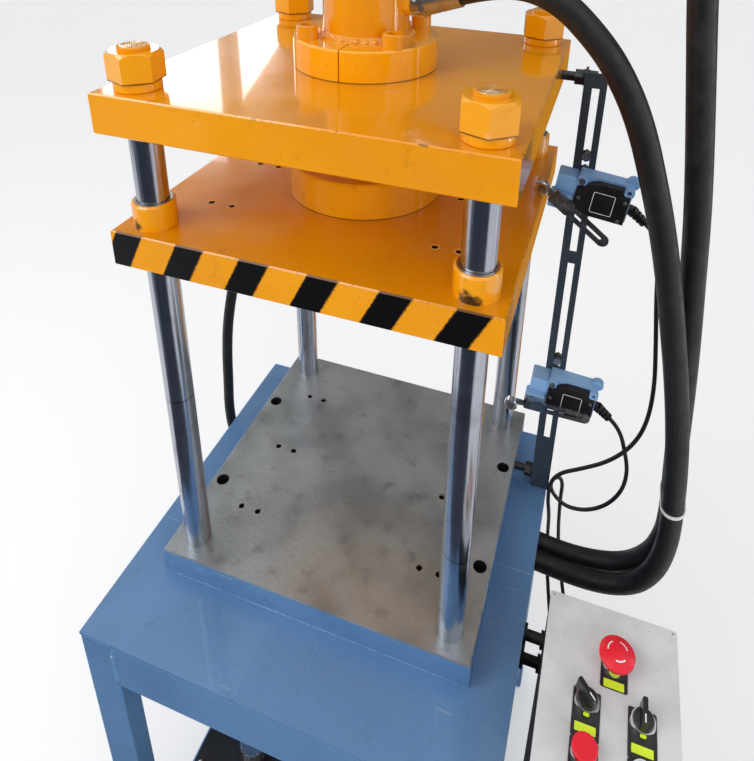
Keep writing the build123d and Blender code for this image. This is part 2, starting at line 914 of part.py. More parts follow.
# Limit switches: cast base with head and ears, cover, shaft, slotted arm and roller
def switch_plane(pivot, tilt, y):
    """Plane facing the front, its origin on the shaft's axis, turned by the switch's tilt."""
    turn = radians(tilt)
    return Plane(origin=(pivot[0], y, pivot[1]), x_dir=(cos(turn), 0, sin(turn)), z_dir=(0, -1, 0))


switch_back_y = rail_face_y
base_front_y = switch_back_y - switch_base
switch_right = switch_left + switch_length
switch_bottom = switch_top - switch_height
ears = [
    (switch_left + ear_inset_x, switch_top - ear_inset_y),
    (switch_right - ear_inset_x, switch_top - ear_inset_y),
]


def switch_body(pivot, tilt, node):
    """Base casting with the shaft head at its left and a mounting ear at each top corner."""
    rear = switch_plane(pivot, tilt, switch_back_y)
    front = switch_plane(pivot, tilt, base_front_y)
    with BuildPart() as body:
        with BuildSketch(rear):
            with Locations(((switch_left + switch_right) / 2, (switch_top + switch_bottom) / 2)):
                RectangleRounded(switch_length, switch_height, switch_corner)
        extrude(amount=switch_base)
        with BuildSketch(rear):
            with Locations((switch_left - head_block_left, switch_top - head_block_drop)):
                RectangleRounded(head_block, head_block, switch_corner)
        extrude(amount=switch_base + switch_cover / 2)
        with BuildSketch(front):
            with Locations((switch_left - head_face_left, head_face_rise)):
                RectangleRounded(head_face_width, head_face_height, switch_corner)
        extrude(amount=base_front_y - head_front_y)
        with BuildSketch(front):
            with Locations(*ears):
                RectangleRounded(ear_width, ear_height, switch_corner)
        extrude(amount=switch_cover - ear_step)
        with BuildSketch(switch_plane(pivot, tilt, switch_back_y - end_disc_step)):
            with Locations((switch_right - end_disc_inset_x, switch_top - end_disc_inset_y)):
                Circle(end_disc_d / 2)
                with PolarLocations(end_disc_d / 2, end_disc_flutes):
                    Circle(end_disc_flute_d / 2, mode=Mode.SUBTRACT)
        extrude(amount=end_disc_depth)
        with BuildSketch(rear):
            with Locations(*ears):
                Circle(ear_hole_d / 2)
        extrude(amount=switch_base + switch_cover, mode=Mode.SUBTRACT)
        with BuildSketch(switch_plane(pivot, tilt, head_front_y)):
            Circle(shaft_d / 2 + slide_gap)
        extrude(amount=-(shaft_reach + seat_gap), mode=Mode.SUBTRACT)
    save(body, node)


def switch_cover_plate(pivot, tilt):
    """Cover with its upper left corner cut off and a notch for the right ear."""
    left = switch_left + cover_inset
    right = switch_right - cover_right_inset
    low = switch_bottom + cover_inset
    top = switch_top - cover_top_inset
    notch_x = switch_right - ear_notch_width
    notch_y = switch_top - ear_notch_depth
    slope = [(left + step_in, top - step_down) for step_in, step_down in cover_slope]
    with BuildPart() as cover:
        with BuildSketch(switch_plane(pivot, tilt, base_front_y)):
            with BuildLine():
                notch = [(right, notch_y), (notch_x, notch_y), (notch_x, top)]
                Polyline((left, low), (right, low), *notch, *slope, close=True)
            make_face()
        extrude(amount=switch_cover)
        chamfer(cover.faces().sort_by(Axis.Y)[0].edges(), length=cover_inset)
    return cover.part


upper_pivot = (upper_pivot_x, upper_pivot_z)
lower_pivot = (lower_pivot_x, lower_pivot_z)
switch_body(upper_pivot, upper_switch_tilt, "upper_switch_body")
switch_body(lower_pivot, lower_switch_tilt, "lower_switch_body")
with BuildPart() as switch_covers:
    add(switch_cover_plate(upper_pivot, upper_switch_tilt))
    add(switch_cover_plate(lower_pivot, lower_switch_tilt))
save(switch_covers, "switch_covers")

boot_rise = switch_bottom + boot_height


def boot_collar(pivot, tilt):
    """Plane of the boot's collar on the switch's right end."""
    turn = radians(tilt)
    middle = switch_plane(pivot, tilt, base_front_y + boot_back)
    start = middle.from_local_coords(Vector(switch_right, boot_rise, 0))
    return Plane(origin=start, z_dir=(cos(turn), 0, sin(turn)))


def boot_frame(pivot, tilt):
    """Start plane of a switch's ribbed cable boot, pointing right and down."""
    start = boot_collar(pivot, tilt).offset(boot_collar_length - boot_sink).origin
    turn = radians(boot_turn)
    return Plane(origin=start, x_dir=(-sin(turn), 0, cos(turn)), z_dir=(cos(turn), 0, sin(turn)))


def round_boot(pivot, tilt):
    """Ribbed rubber boot on its collar."""
    collar = boot_collar(pivot, tilt)
    base = boot_frame(pivot, tilt)
    profile = [(0, 0), (boot_d / 2, 0), (boot_d / 2, boot_neck)]
    for rib in range(boot_ribs):
        rib_r = boot_d / 2 - boot_rib_inset - rib * boot_rib_drop
        groove = boot_neck + rib * boot_pitch
        rib_start = groove + boot_pitch / 2
        profile += [(boot_root_d / 2, groove), (boot_root_d / 2, rib_start)]
        profile += [(rib_r, rib_start), (rib_r, groove + boot_pitch)]
    with BuildPart() as boot:
        with BuildSketch(Plane(origin=base.origin, x_dir=base.x_dir, z_dir=base.y_dir)):
            with BuildLine():
                Polyline(*[(radius, -along) for radius, along in profile], (0, -boot_length), close=True)
            make_face()
        revolve(axis=Axis(base.origin, base.z_dir))
        with BuildSketch(collar):
            Circle(boot_collar_d / 2)
        extrude(amount=boot_collar_length)
    return boot.part


upper_boot = boot_frame(upper_pivot, upper_switch_tilt)
lower_boot = boot_frame(lower_pivot, lower_switch_tilt)
with BuildPart() as cable_glands:
    add(round_boot(upper_pivot, upper_switch_tilt))
    add(round_boot(lower_pivot, lower_switch_tilt))
    for gland_x in cabinet_gland_x:
        with BuildSketch(Plane(origin=(gland_x, cabinet_back_y, cabinet_gland_z), z_dir=(0, 1, 0))):
            RegularPolygon(radius=cabinet_nut_d / 2, side_count=6, major_radius=False)
        extrude(amount=cabinet_nut_height)
        gland_start = (gland_x, cabinet_back_y + cabinet_nut_height, cabinet_gland_z)
        with BuildSketch(Plane(origin=gland_start, z_dir=(0, 1, 0))):
            Circle(cabinet_gland_d / 2)
        extrude(amount=cabinet_gland_length)
save(cable_glands, "cable_glands")

with BuildPart() as switch_screws:
    for pivot, tilt in ((upper_pivot, upper_switch_tilt), (lower_pivot, lower_switch_tilt)):
        ear_front = switch_plane(pivot, tilt, base_front_y - switch_cover + ear_step)
        ear = ear_front.from_local_coords(Vector(*ears[0], 0))
        with BuildSketch(Plane(origin=ear, z_dir=(0, -1, 0))):
            Circle(ear_head_d / 2)
        extrude(amount=ear_head_height)
        with BuildSketch(Plane(origin=ear, z_dir=(0, -1, 0))):
            Circle(ear_screw_d / 2)
        extrude(amount=-(rail_face_y + rail_wall + ear_screw_tail - ear.Y))
        with BuildSketch(Plane(origin=(ear.X, rail_face_y + rail_wall, ear.Z), z_dir=(0, 1, 0))):
            RegularPolygon(radius=ear_nut_flats / 2, side_count=6, major_radius=False)
        extrude(amount=ear_nut_height)
        bolt_z = ear.Z + slot_bolt_rise
        with BuildSketch(Plane(origin=(slot_x, rail_face_y, bolt_z), z_dir=(0, -1, 0))):
            RegularPolygon(radius=slot_bolt_flats / 2, side_count=6, major_radius=False)
        extrude(amount=slot_bolt_head)
        with BuildSketch(Plane(origin=(slot_x, rail_face_y, bolt_z), z_dir=(0, 1, 0))):
            Circle(slot_bolt_d / 2)
        extrude(amount=rail_wall)
        with BuildSketch(Plane(origin=(slot_x, rail_face_y + rail_wall, bolt_z), z_dir=(0, 1, 0))):
            RegularPolygon(radius=slot_bolt_flats / 2, side_count=6, major_radius=False)
        extrude(amount=slot_bolt_nut)
save(switch_screws, "switch_screws")


def switch_lever(pivot, turn, node):
    """Slotted arm with its clamp hub on the shaft; the arm's roller end points left."""
    front = switch_plane(pivot, turn, arm_front_y + arm_sheet)
    pin_end_y = arm_front_y - roller_width - 2 * roller_gap
    hub_depth = head_front_y - arm_front_y - arm_sheet - seat_gap
    tail_middle = arm_tail - arm_bar_width / 2
    nose_middle = arm_nose_length / 2 - arm_length - arm_nose_overhang
    slot_end_x = arm_tail - arm_slot_margin
    with BuildPart() as lever:
        with BuildSketch(front):
            with Locations(((tail_middle - arm_bar_start) / 2, 0)):
                Rectangle(tail_middle + arm_bar_start, arm_bar_width)
            with Locations((tail_middle, 0)):
                Circle(arm_bar_width / 2)
            with Locations((nose_middle, 0)):
                SlotOverall(arm_nose_length, arm_nose_width)
            with Locations(((arm_slot_start + slot_end_x) / 2, 0)):
                SlotOverall(slot_end_x - arm_slot_start, arm_slot, mode=Mode.SUBTRACT)
        extrude(amount=arm_sheet)
        with BuildSketch(front):
            with Locations((-hub_middle, -hub_drop)):
                RectangleRounded(hub_length, hub_width, hub_corner)
        extrude(amount=-hub_depth)
        with BuildSketch(switch_plane(pivot, turn, head_front_y - seat_gap)):
            Circle(shaft_d / 2)
        extrude(amount=-(shaft_reach + seat_gap))
        with BuildSketch(switch_plane(pivot, turn, arm_front_y)):
            with Locations((-arm_length, 0)):
                Circle(roller_pin_d / 2)
        extrude(amount=arm_front_y - pin_end_y)
        with BuildSketch(switch_plane(pivot, turn, pin_end_y)):
            with Locations((-arm_length, 0)):
                Circle(pin_head_d / 2)
        extrude(amount=pin_head_height)
        with BuildSketch(switch_plane(pivot, turn, arm_front_y)):
            with Locations(*[(-rivet * rivet_pitch, 0) for rivet in range(rivet_count)]):
                Circle(rivet_d / 2)
        extrude(amount=rivet_height)
    save(lever, node)


switch_lever(upper_pivot, upper_arm_turn, "upper_lever")
switch_lever(lower_pivot, 0, "lower_lever")


def switch_roller(pivot, turn, node):
    """Grooved steel roller on the arm's pin."""
    inner_side = switch_plane(pivot, turn, arm_front_y - roller_gap)
    centre = inner_side.from_local_coords(Vector(-arm_length, 0, 0))
    with BuildPart() as roller:
        with BuildSketch(Plane(origin=centre, z_dir=(0, -1, 0))):
            Circle(roller_r)
            Circle(roller_pin_d / 2 + slide_gap, mode=Mode.SUBTRACT)
        extrude(amount=roller_width)
        rims = roller.edges().filter_by(GeomType.CIRCLE)
        chamfer(rims.filter_by(lambda e: e.radius > roller_pin_d), length=roller_edge)
    save(roller, node)


switch_roller(upper_pivot, upper_arm_turn, "upper_roller")
switch_roller(lower_pivot, 0, "lower_roller")

# Control cabinet: open-topped box, bolted panel plate, legends and 22 mm devices
cabinet_y = cabinet_back_y - cabinet_depth / 2
cabinet_top = panel_top - cabinet_sheet
with BuildPart() as cabinet:
    with BuildSketch(Plane.XY.offset(cabinet_top - cabinet_height)):
        with Locations((panel_x, cabinet_y)):
            RectangleRounded(cabinet_width, cabinet_depth, cabinet_corner)
    extrude(amount=cabinet_height)
    with BuildSketch(Plane.XY.offset(cabinet_top - cabinet_height + cabinet_sheet)):
        with Locations((panel_x, cabinet_y)):
            Rectangle(cabinet_width - 2 * cabinet_sheet, cabinet_depth - 2 * cabinet_sheet)
    extrude(amount=cabinet_height - cabinet_sheet, mode=Mode.SUBTRACT)
    with BuildSketch(Plane.XY.offset(cabinet_top - cabinet_sheet)):
        with Locations((panel_x, cabinet_y)):
            Rectangle(cabinet_width - cabinet_sheet, cabinet_depth - cabinet_sheet)
            lip_width = cabinet_width - 2 * cabinet_sheet - 2 * cabinet_lip
            lip_depth = cabinet_depth - 2 * cabinet_sheet - 2 * cabinet_lip
            Rectangle(lip_width, lip_depth, mode=Mode.SUBTRACT)
    extrude(amount=cabinet_sheet)
save(cabinet, "cabinet")

with BuildPart() as panel_plate:
    with BuildSketch(Plane.XY.offset(cabinet_top)):
        with Locations((panel_x, cabinet_y)):
            RectangleRounded(cabinet_width, cabinet_depth, panel_corner)
        with Locations(*device_places.values()):
            Circle(device_hole_d / 2, mode=Mode.SUBTRACT)
    extrude(amount=cabinet_sheet)
save(panel_plate, "panel_plate")

legend_top = panel_top + legend_sheet
with BuildPart() as legend_plates:
    with BuildSketch(Plane.XY.offset(panel_top)):
        for device, (device_x, device_y) in device_places.items():
            plate_length = estop_legend_length if device == "estop" else legend_length
            with Locations((device_x, device_y - plate_length / 2 + legend_rise)):
                RectangleRounded(legend_width, plate_length, panel_corner)
        with Locations(*device_places.values()):
            Circle(device_hole_d / 2, mode=Mode.SUBTRACT)
    extrude(amount=legend_sheet)
save(legend_plates, "legend_plates")

bezel_top = legend_top + bezel_height
with BuildPart() as device_bezels:
    for device, place in device_places.items():
        opening_d = guide_d if device == "estop" else plunger_d
        with BuildSketch(Plane.XY.offset(legend_top)):
            with Locations(place):
                Circle(bezel_d / 2)
        extrude(amount=bezel_height, taper=bezel_taper)
        with BuildSketch(Plane.XY.offset(legend_top)):
            with Locations(place):
                Circle(device_hole_d / 2 - seat_gap)
        extrude(amount=-(legend_top - cabinet_top + barrel_below))
        with BuildSketch(Plane.XY.offset(cabinet_top)):
            with Locations(place):
                Circle(ring_nut_d / 2)
                Circle(device_hole_d / 2 - seat_gap - thread_gap, mode=Mode.SUBTRACT)
        extrude(amount=-ring_nut_height)
        with BuildSketch(Plane.XY.offset(cabinet_top - barrel_below)):
            with Locations(place):
                Rectangle(contact_width, contact_depth)
        extrude(amount=-contact_height)
        with BuildSketch(Plane.XY.offset(bezel_top)):
            with Locations(place):
                Circle(opening_d / 2 + slide_gap)
        extrude(amount=-(bezel_top - cabinet_top + barrel_below - cut_overrun), mode=Mode.SUBTRACT)
save(device_bezels, "device_bezels")

plunger_foot = cabinet_top - plunger_below
cap_base = panel_top + estop_rise
with BuildPart() as estop_stem:
    with BuildSketch(Plane.XY.offset(plunger_foot)):
        with Locations(device_places["estop"]):
            Circle(guide_d / 2)
    extrude(amount=cap_base - plunger_foot)
    with BuildSketch(Plane.XY.offset(cap_base)):
        with Locations(device_places["estop"]):
            Circle(estop_neck_d / 2)
    extrude(amount=estop_neck_height)
save(estop_stem, "estop_stem")

estop_x, estop_y = device_places["estop"]
neck_r = estop_neck_d / 2 + slide_gap
neck_top = estop_neck_height + seat_gap
rim_low = (estop_d / 2, estop_rim_low)
rim_high = (estop_d / 2, estop_rim_high)
crown = (0, estop_height)
with BuildPart() as estop_head:
    with BuildSketch(Plane(origin=(estop_x, estop_y, cap_base), x_dir=(1, 0, 0), z_dir=(0, -1, 0))):
        with BuildLine():
            skirt = (estop_skirt_d / 2, seat_gap)
            Polyline((0, neck_top), (neck_r, neck_top), (neck_r, seat_gap), skirt, rim_low)
            Line(rim_low, rim_high)
            TangentArc(crown, rim_high, tangent=(1, 0))
            Line(crown, (0, neck_top))
        make_face()
    revolve(axis=Axis((estop_x, estop_y, 0), (0, 0, 1)))
save(estop_head, "estop_head")


def selector(place, turn, node):
    """Round selector base with a raised, tapered finger grip turned to its position."""
    with BuildPart() as knob:
        with BuildSketch(Plane.XY.offset(legend_top - knob_below)):
            with Locations(place):
                Circle(plunger_d / 2)
        extrude(amount=bezel_height + knob_below)
        with BuildSketch(Plane.XY.offset(bezel_top)):
            with Locations(place):
                Circle(knob_d / 2)
        extrude(amount=knob_collar_height, taper=knob_taper)
        grip = Plane(origin=(*place, bezel_top), x_dir=(cos(radians(turn)), sin(radians(turn)), 0))
        with BuildSketch(grip):
            with Locations((grip_offset, 0)):
                RectangleRounded(grip_length, grip_width, grip_corner)
        extrude(amount=grip_height, taper=grip_taper)
    save(knob, node)


selector(device_places["left_selector"], 135, "left_selector")
selector(device_places["right_selector"], 90, "right_selector")


def push_button(place, node, cap_d=plunger_d):
    """Push button sliding in its bezel, with a wider cap over the rim where it has one."""
    with BuildPart() as button:
        with BuildSketch(Plane.XY.offset(plunger_foot)):
            with Locations(place):
                Circle(plunger_d / 2)
        plunger_top = bezel_top + (button_rise if cap_d == plunger_d else button_travel + 2 * seat_gap)
        extrude(amount=plunger_top - plunger_foot)
        if cap_d > plunger_d:
            with BuildSketch(Plane.XY.offset(bezel_top + button_travel + seat_gap)):
                with Locations(place):
                    Circle(cap_d / 2)
            extrude(amount=red_cap_height)
        chamfer(button.faces().sort_by(Axis.Z)[-1].edges(), length=button_edge)
    save(button, node)


push_button(device_places["red_button"], "red_button", red_cap_d)
push_button(device_places["green_button"], "green_button")

with BuildPart() as cabinet_arms:
    for arm_y in (cabinet_back_y - arm_back, cabinet_back_y - cabinet_depth + arm_front):
        for arm_z in (table_under - arm_high, table_under - apron_height + arm_low):
            with BuildSketch(Plane(origin=(table_x, arm_y, arm_z), z_dir=(1, 0, 0))):
                Circle(arm_pad_d / 2)
            extrude(amount=arm_pad_sheet)
            with BuildSketch(Plane(origin=(table_x + arm_pad_sheet, arm_y, arm_z), z_dir=(1, 0, 0))):
                Circle(arm_tube_d / 2)
            extrude(amount=cabinet_gap - 2 * arm_pad_sheet)
            with BuildSketch(Plane(origin=(cabinet_x - arm_pad_sheet, arm_y, arm_z), z_dir=(1, 0, 0))):
                Circle(arm_boss_d / 2)
            extrude(amount=arm_pad_sheet)
save(cabinet_arms, "cabinet_arms")

# Power unit: oil tank, lid, finned motor, valve block with solenoids, filler
tank_y = -tank_front + tank_depth / 2
with BuildPart() as oil_tank:
    with BuildSketch(Plane.XY.offset(tank_base_z)):
        with Locations((0, tank_y)):
            RectangleRounded(tank_width, tank_depth, tank_corner)
    extrude(amount=tank_height)
    with BuildSketch(Plane.XY.offset(tank_base_z + tank_wall)):
        with Locations((0, tank_y)):
            inner_corner = tank_corner - tank_wall
            RectangleRounded(tank_width - 2 * tank_wall, tank_depth - 2 * tank_wall, inner_corner)
    extrude(amount=tank_height - tank_wall, mode=Mode.SUBTRACT)
    with BuildSketch(Plane(origin=(0, -tank_front, tank_base_z + drain_rise), z_dir=(0, -1, 0))):
        Circle(drain_boss_d / 2)
    extrude(amount=drain_boss_height)
    drain_face_y = -tank_front - drain_boss_height
    with BuildSketch(Plane(origin=(0, drain_face_y, tank_base_z + drain_rise), z_dir=(0, -1, 0))):
        RegularPolygon(radius=drain_flats / 2, side_count=6, major_radius=False)
    extrude(amount=drain_height)
save(oil_tank, "oil_tank")

with BuildPart() as tank_lid:
    with BuildSketch(Plane.XY.offset(lid_z)):
        with Locations((0, tank_y)):
            RectangleRounded(tank_width + 2 * lid_lip, tank_depth + 2 * lid_lip, tank_corner + lid_lip)
    extrude(amount=lid_height)
save(tank_lid, "tank_lid")

fan_cover_z = lid_top + motor_height - fan_cover_height
with BuildPart() as pump_motor:
    with BuildSketch(Plane.XY.offset(lid_top)):
        with Locations((motor_x, motor_y)):
            Circle(motor_d / 2)
    extrude(amount=motor_foot)
    with BuildSketch(Plane.XY.offset(lid_top + motor_foot)):
        with Locations((motor_x, motor_y)):
            Circle(motor_d / 2 - fin_height)
            with PolarLocations(motor_d / 2 - fin_height, fin_count):
                Rectangle(2 * fin_height, fin_width)
    extrude(amount=fan_cover_z - lid_top - motor_foot)
    with BuildSketch(Plane.XY.offset(fan_cover_z)):
        with Locations((motor_x, motor_y)):
            Circle(motor_d / 2)
    extrude(amount=fan_cover_height)
    chamfer(pump_motor.faces().sort_by(Axis.Z)[-1].edges(), length=fan_cover_edge)
    with BuildSketch(Plane.XY.offset(lid_top + motor_height)):
        with Locations((motor_x, motor_y)):
            with PolarLocations(fan_slot_circle / 2, fan_slot_count):
                SlotOverall(fan_slot_length, fan_slot_width)
    extrude(amount=-fan_slot_depth, mode=Mode.SUBTRACT)
    with BuildSketch(Plane.XZ.offset(-(motor_y - motor_d / 2 + fin_height))):
        with Locations((motor_x, lid_top + terminal_rise)):
            RectangleRounded(terminal_box_width, terminal_box_height, terminal_corner)
    extrude(amount=terminal_box_depth)
save(pump_motor, "pump_motor")

with BuildPart() as valve_block:
    with BuildSketch(Plane.XY.offset(lid_top)):
        with Locations((block_x, block_y)):
            Rectangle(block_width, block_depth)
    extrude(amount=block_height)
    chamfer(valve_block.edges().filter_by(Axis.Z), length=block_edge)
    valve_y = block_y - block_depth / 2 - valve_depth / 2
    with BuildSketch(Plane.XY.offset(lid_top)):
        with Locations((block_x, valve_y)):
            Rectangle(valve_width, valve_depth)
    extrude(amount=valve_height)
    with BuildSketch(Plane.YZ.offset(block_x - solenoid_length / 2)):
        with Locations((valve_y, lid_top + solenoid_rise)):
            Circle(solenoid_core_d / 2)
    extrude(amount=solenoid_length)
    for coil_x in (block_x - valve_width / 2 - coil_length, block_x + valve_width / 2):
        with BuildSketch(Plane.YZ.offset(coil_x)):
            with Locations((valve_y, lid_top + solenoid_rise)):
                RectangleRounded(coil_size, coil_size, coil_corner)
        extrude(amount=coil_length)
save(valve_block, "valve_block")

with BuildPart() as filler_cap:
    with BuildSketch(Plane.XY.offset(lid_top)):
        with Locations((filler_x, filler_y)):
            Circle(filler_neck_d / 2)
    extrude(amount=filler_neck_height)
    with BuildSketch(Plane.XY.offset(lid_top + filler_neck_height)):
        with Locations((filler_x, filler_y)):
            Circle(filler_d / 2)
            with PolarLocations(filler_d / 2, grip_flute_count):
                Circle(grip_flute_d / 2, mode=Mode.SUBTRACT)
    extrude(amount=filler_cap_height)
    chamfer(filler_cap.faces().sort_by(Axis.Z)[-1].edges().group_by(SortBy.LENGTH)[-1], length=grip_edge)
save(filler_cap, "filler_cap")

# Hose fittings: two at the barrel, one at its back, and three on the power unit
port_axis = (cos(radians(port_tilt)), 0, sin(radians(port_tilt)))
block_ports = ((block_x, block_y - block_port_front), (block_x, block_y + block_port_back))
with BuildPart() as hose_fittings:
    for port_height in (lower_port_z, upper_port_z):
        add(ferrule((port_face, 0, port_height), (1, 0, 0), port_axis, hose_d))
    add(ferrule((0, port_face, upper_port_z), (0, 1, 0), (0, 1, 0), rear_hose_d))
    for port_place in block_ports:
        add(ferrule((*port_place, lid_top + block_height), (0, 0, 1), (0, 0, 1), hose_d))
    add(ferrule((*return_port, lid_top), (0, 0, 1), (0, 0, 1), rear_hose_d))
save(hose_fittings, "hose_fittings")

# Hose and cable routes, points chosen along their real runs
tilted_reach = hex_length + ferrule_length
reach = collar_length - collar_sink + tilted_reach


def port_point(port_height, along):
    """Point on a side port's tilted axis, at a distance from the start of its hexagon."""
    start_x = port_face + collar_length - collar_sink
    return (start_x + along * port_axis[0], 0, port_height + along * port_axis[2])


block_end_z = lid_top + block_height + reach
lower_hose_route = [
    port_point(lower_port_z, tilted_reach),
    port_point(lower_port_z, tilted_reach + port_lead),
    (214, 0, 768),
    (264, 1, 722),
    (293, 2, 682),
    (317, 3, 635),
    (339, 5, 573),
    (359, 8, 510),
    (377.5, 14, 440),
    (393, 18, 372),
    (410, 24, 296),
    (426, 30, 212),
    (437, 35, 138),
    (445, 40, 64),
    (450.5, 45, -12),
    (444, 51, -77),
    (425, 57, -124),
    (393, 61, -151),
    (345, 65, -164),
    (285, 67, -161),
    (225, 63, -149),
    (170, 57, -136),
    (122, 51, -138),
    (84, 47, -152),
    (*block_ports[0], -186),
    (*block_ports[0], block_end_z),
]
upper_hose_route = [
    port_point(upper_port_z, tilted_reach),
    port_point(upper_port_z, tilted_reach + port_lead),
    (222, 7, 1131),
    (280, 11, 1092),
    (318, 14, 1038),
    (335, 17, 970),
    (341, 20, 895),
    (346, 23, 832),
    (355, 25, 768),
    (366.5, 28, 700),
    (378, 30, 631),
    (388.5, 33, 566),
    (397, 36, 506),
    (406.5, 43, 429),
    (415.5, 49, 358),
    (425, 56, 276),
    (433.5, 63, 186),
    (441, 69, 104),
    (448.5, 74, 36),
    (451, 79, -34),
    (438, 85, -92),
    (407, 92, -136),
    (362, 97, -158),
    (310, 100, -165),
    (255, 101, -157),
    (200, 98, -145),
    (150, 95, -136),
    (112, 92, -140),
    (80, 91, -158),
    (*block_ports[1], -190),
    (*block_ports[1], block_end_z),
]
rear_hose_route = [
    (*return_port, lid_top + reach),
    (*return_port, -236),
    (-142, 68, -202),
    (-186, 78, -178),
    (-236, 88, -176),
    (-280, 95, -160),
    (-309, 99, -120),
    (-314, 100, -66),
    (-310, 100, -4),
    (-307, 100, 62),
    (-301, 102, 130),
    (-291, 108, 194),
    (-286, 128, 252),
    (-278, 168, 306),
    (-256, 218, 352),
    (-216, 258, 404),
    (-160, 276, 472),
    (-104, 278, 552),
    (-62, 270, 640),
    (-36, 262, 736),
    (-20, 254, 836),
    (-10, 236, 930),
    (-4, 206, 1010),
    (-1, 164, 1062),
    (0, 140, upper_port_z),
    (0, port_face + reach, upper_port_z),
]
gland_end_y = cabinet_back_y + cabinet_nut_height + cabinet_gland_length
upper_cable_route = [
    tuple(upper_boot.from_local_coords(Vector(0, 0, boot_length))),
    tuple(upper_boot.from_local_coords(Vector(0, 0, boot_length + upper_cable_lead))),
    (370, 85, 416),
    (376, 84, 366),
    (386, 84, 300),
    (396, 84, 226),
    (396, 84, 160),
    (382, 83, 112),
    (354, 83, 72),
    (318, 83, 44),
    (290, 84, 24),
    (277, 85, -4),
    (278, 88, -44),
    (282, 102, -84),
    (284, 122, -126),
    (286, 130, -172),
    (290, 112, -206),
    (300, 70, -226),
    (312, 14, -234),
    (321, -36, -232),
    (cabinet_gland_x[0], -62, cabinet_gland_z),
    (cabinet_gland_x[0], gland_end_y, cabinet_gland_z),
]
lower_cable_route = [
    tuple(lower_boot.from_local_coords(Vector(0, 0, boot_length))),
    tuple(lower_boot.from_local_coords(Vector(0, 0, boot_length + lower_cable_lead))),
    (377, 90, 90),
    (385, 91, 54),
    (383, 92, 14),
    (366, 92, -24),
    (338, 92, -48),
    (308, 93, -54),
    (288, 94, -40),
    (278.5, 94.5, -23),
    (281, 96, -5),
    (291, 100, -2),
    (297, 106, -22),
    (297, 116, -60),
    (299, 128, -110),
    (302, 136, -160),
    (308, 126, -204),
    (322, 86, -230),
    (336, 30, -236),
    (346, -24, -233),
    (cabinet_gland_x[1], -60, cabinet_gland_z),
    (cabinet_gland_x[1], gland_end_y, cabinet_gland_z),
]
tube_along(lower_hose_route, hose_d, "lower_hose")
tube_along(upper_hose_route, hose_d, "upper_hose")
tube_along(rear_hose_route, rear_hose_d, "rear_hose")
tube_along(upper_cable_route, cable_d, "upper_cable")
tube_along(lower_cable_route, cable_d, "lower_cable")

# Cable tie round both hoses
tie_middle = (444.8, 55.6, 68)
tie_axis = Vector(7.8, 5, -76).normalized()
hose_side = Vector(0.4, 31.7, 2.1)
with BuildPart() as cable_ties:
    with BuildSketch(Plane(origin=tie_middle, x_dir=hose_side, z_dir=tie_axis)):
        SlotCenterToCenter(hose_side.length, hose_d + 2 * seat_gap + 2 * tie_sheet)
        SlotCenterToCenter(hose_side.length, hose_d + 2 * seat_gap, mode=Mode.SUBTRACT)
    extrude(amount=tie_width / 2, both=True)
save(cable_ties, "cable_ties")
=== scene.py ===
import logging
import math
import random
from dataclasses import dataclass, replace
from enum import Enum

import bmesh
import bpy
from mathutils import Matrix, Vector


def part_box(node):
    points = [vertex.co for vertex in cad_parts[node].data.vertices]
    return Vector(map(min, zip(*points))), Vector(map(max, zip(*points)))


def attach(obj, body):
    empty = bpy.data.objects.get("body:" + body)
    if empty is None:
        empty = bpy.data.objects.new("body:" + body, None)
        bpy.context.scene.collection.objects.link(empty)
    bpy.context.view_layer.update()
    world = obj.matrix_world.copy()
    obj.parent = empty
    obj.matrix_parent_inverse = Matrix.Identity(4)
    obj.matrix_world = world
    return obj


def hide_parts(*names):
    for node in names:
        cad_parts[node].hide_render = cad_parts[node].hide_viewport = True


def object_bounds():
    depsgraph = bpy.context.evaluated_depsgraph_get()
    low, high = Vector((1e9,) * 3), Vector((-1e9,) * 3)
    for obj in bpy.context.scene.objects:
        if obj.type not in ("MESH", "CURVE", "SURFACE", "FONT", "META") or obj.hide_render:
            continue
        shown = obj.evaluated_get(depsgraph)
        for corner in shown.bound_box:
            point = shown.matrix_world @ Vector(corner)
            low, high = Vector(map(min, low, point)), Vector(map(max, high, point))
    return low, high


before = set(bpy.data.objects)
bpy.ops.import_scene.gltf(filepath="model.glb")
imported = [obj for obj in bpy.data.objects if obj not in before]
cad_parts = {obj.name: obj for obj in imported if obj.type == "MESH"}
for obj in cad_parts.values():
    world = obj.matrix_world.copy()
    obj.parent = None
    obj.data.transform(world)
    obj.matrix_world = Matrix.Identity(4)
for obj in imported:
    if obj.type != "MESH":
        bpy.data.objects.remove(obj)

LOG = logging.getLogger("press")
CAD_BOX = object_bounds()
FRAME_BODY = "frame"
CROSSHEAD_BODY = "crosshead"
COLUMNS = ("column_front_left", "column_front_right", "column_back_left", "column_back_right")

Colour = tuple[float, float, float]
Point = tuple[float, float, float]
Span = tuple[float, float]
Outline = list[Span]
Mesh = bmesh.types.BMesh
Loop = list[bmesh.types.BMVert]
Socket = bpy.types.NodeSocket

ACROSS: Point = (1.0, 0.0, 0.0)
TO_FRONT: Point = (0.0, -1.0, 0.0)
UPWARD: Point = (0.0, 0.0, 1.0)
BLACK: Colour = (0.0, 0.0, 0.0)
PURE_WHITE: Colour = (1.0, 1.0, 1.0)
COAT_ROUGHNESS = 0.04
SMOOTH_BELOW = math.radians(38)


@dataclass(frozen=True)
class Patches:
    """Noise that turns smoothly from one value to another between two of its levels."""

    scale: float
    detail: float
    low: float
    high: float
    start: float = 0.0
    end: float = 1.0
    stretch: Point | None = None


UNEVEN = Patches(scale=1.0, detail=6.0, low=0.3, high=0.7)


@dataclass(frozen=True)
class Specks:
    """Scattered round specks, full within one distance and gone past another, in cells."""

    scale: float
    inner: float
    outer: float
    full: float


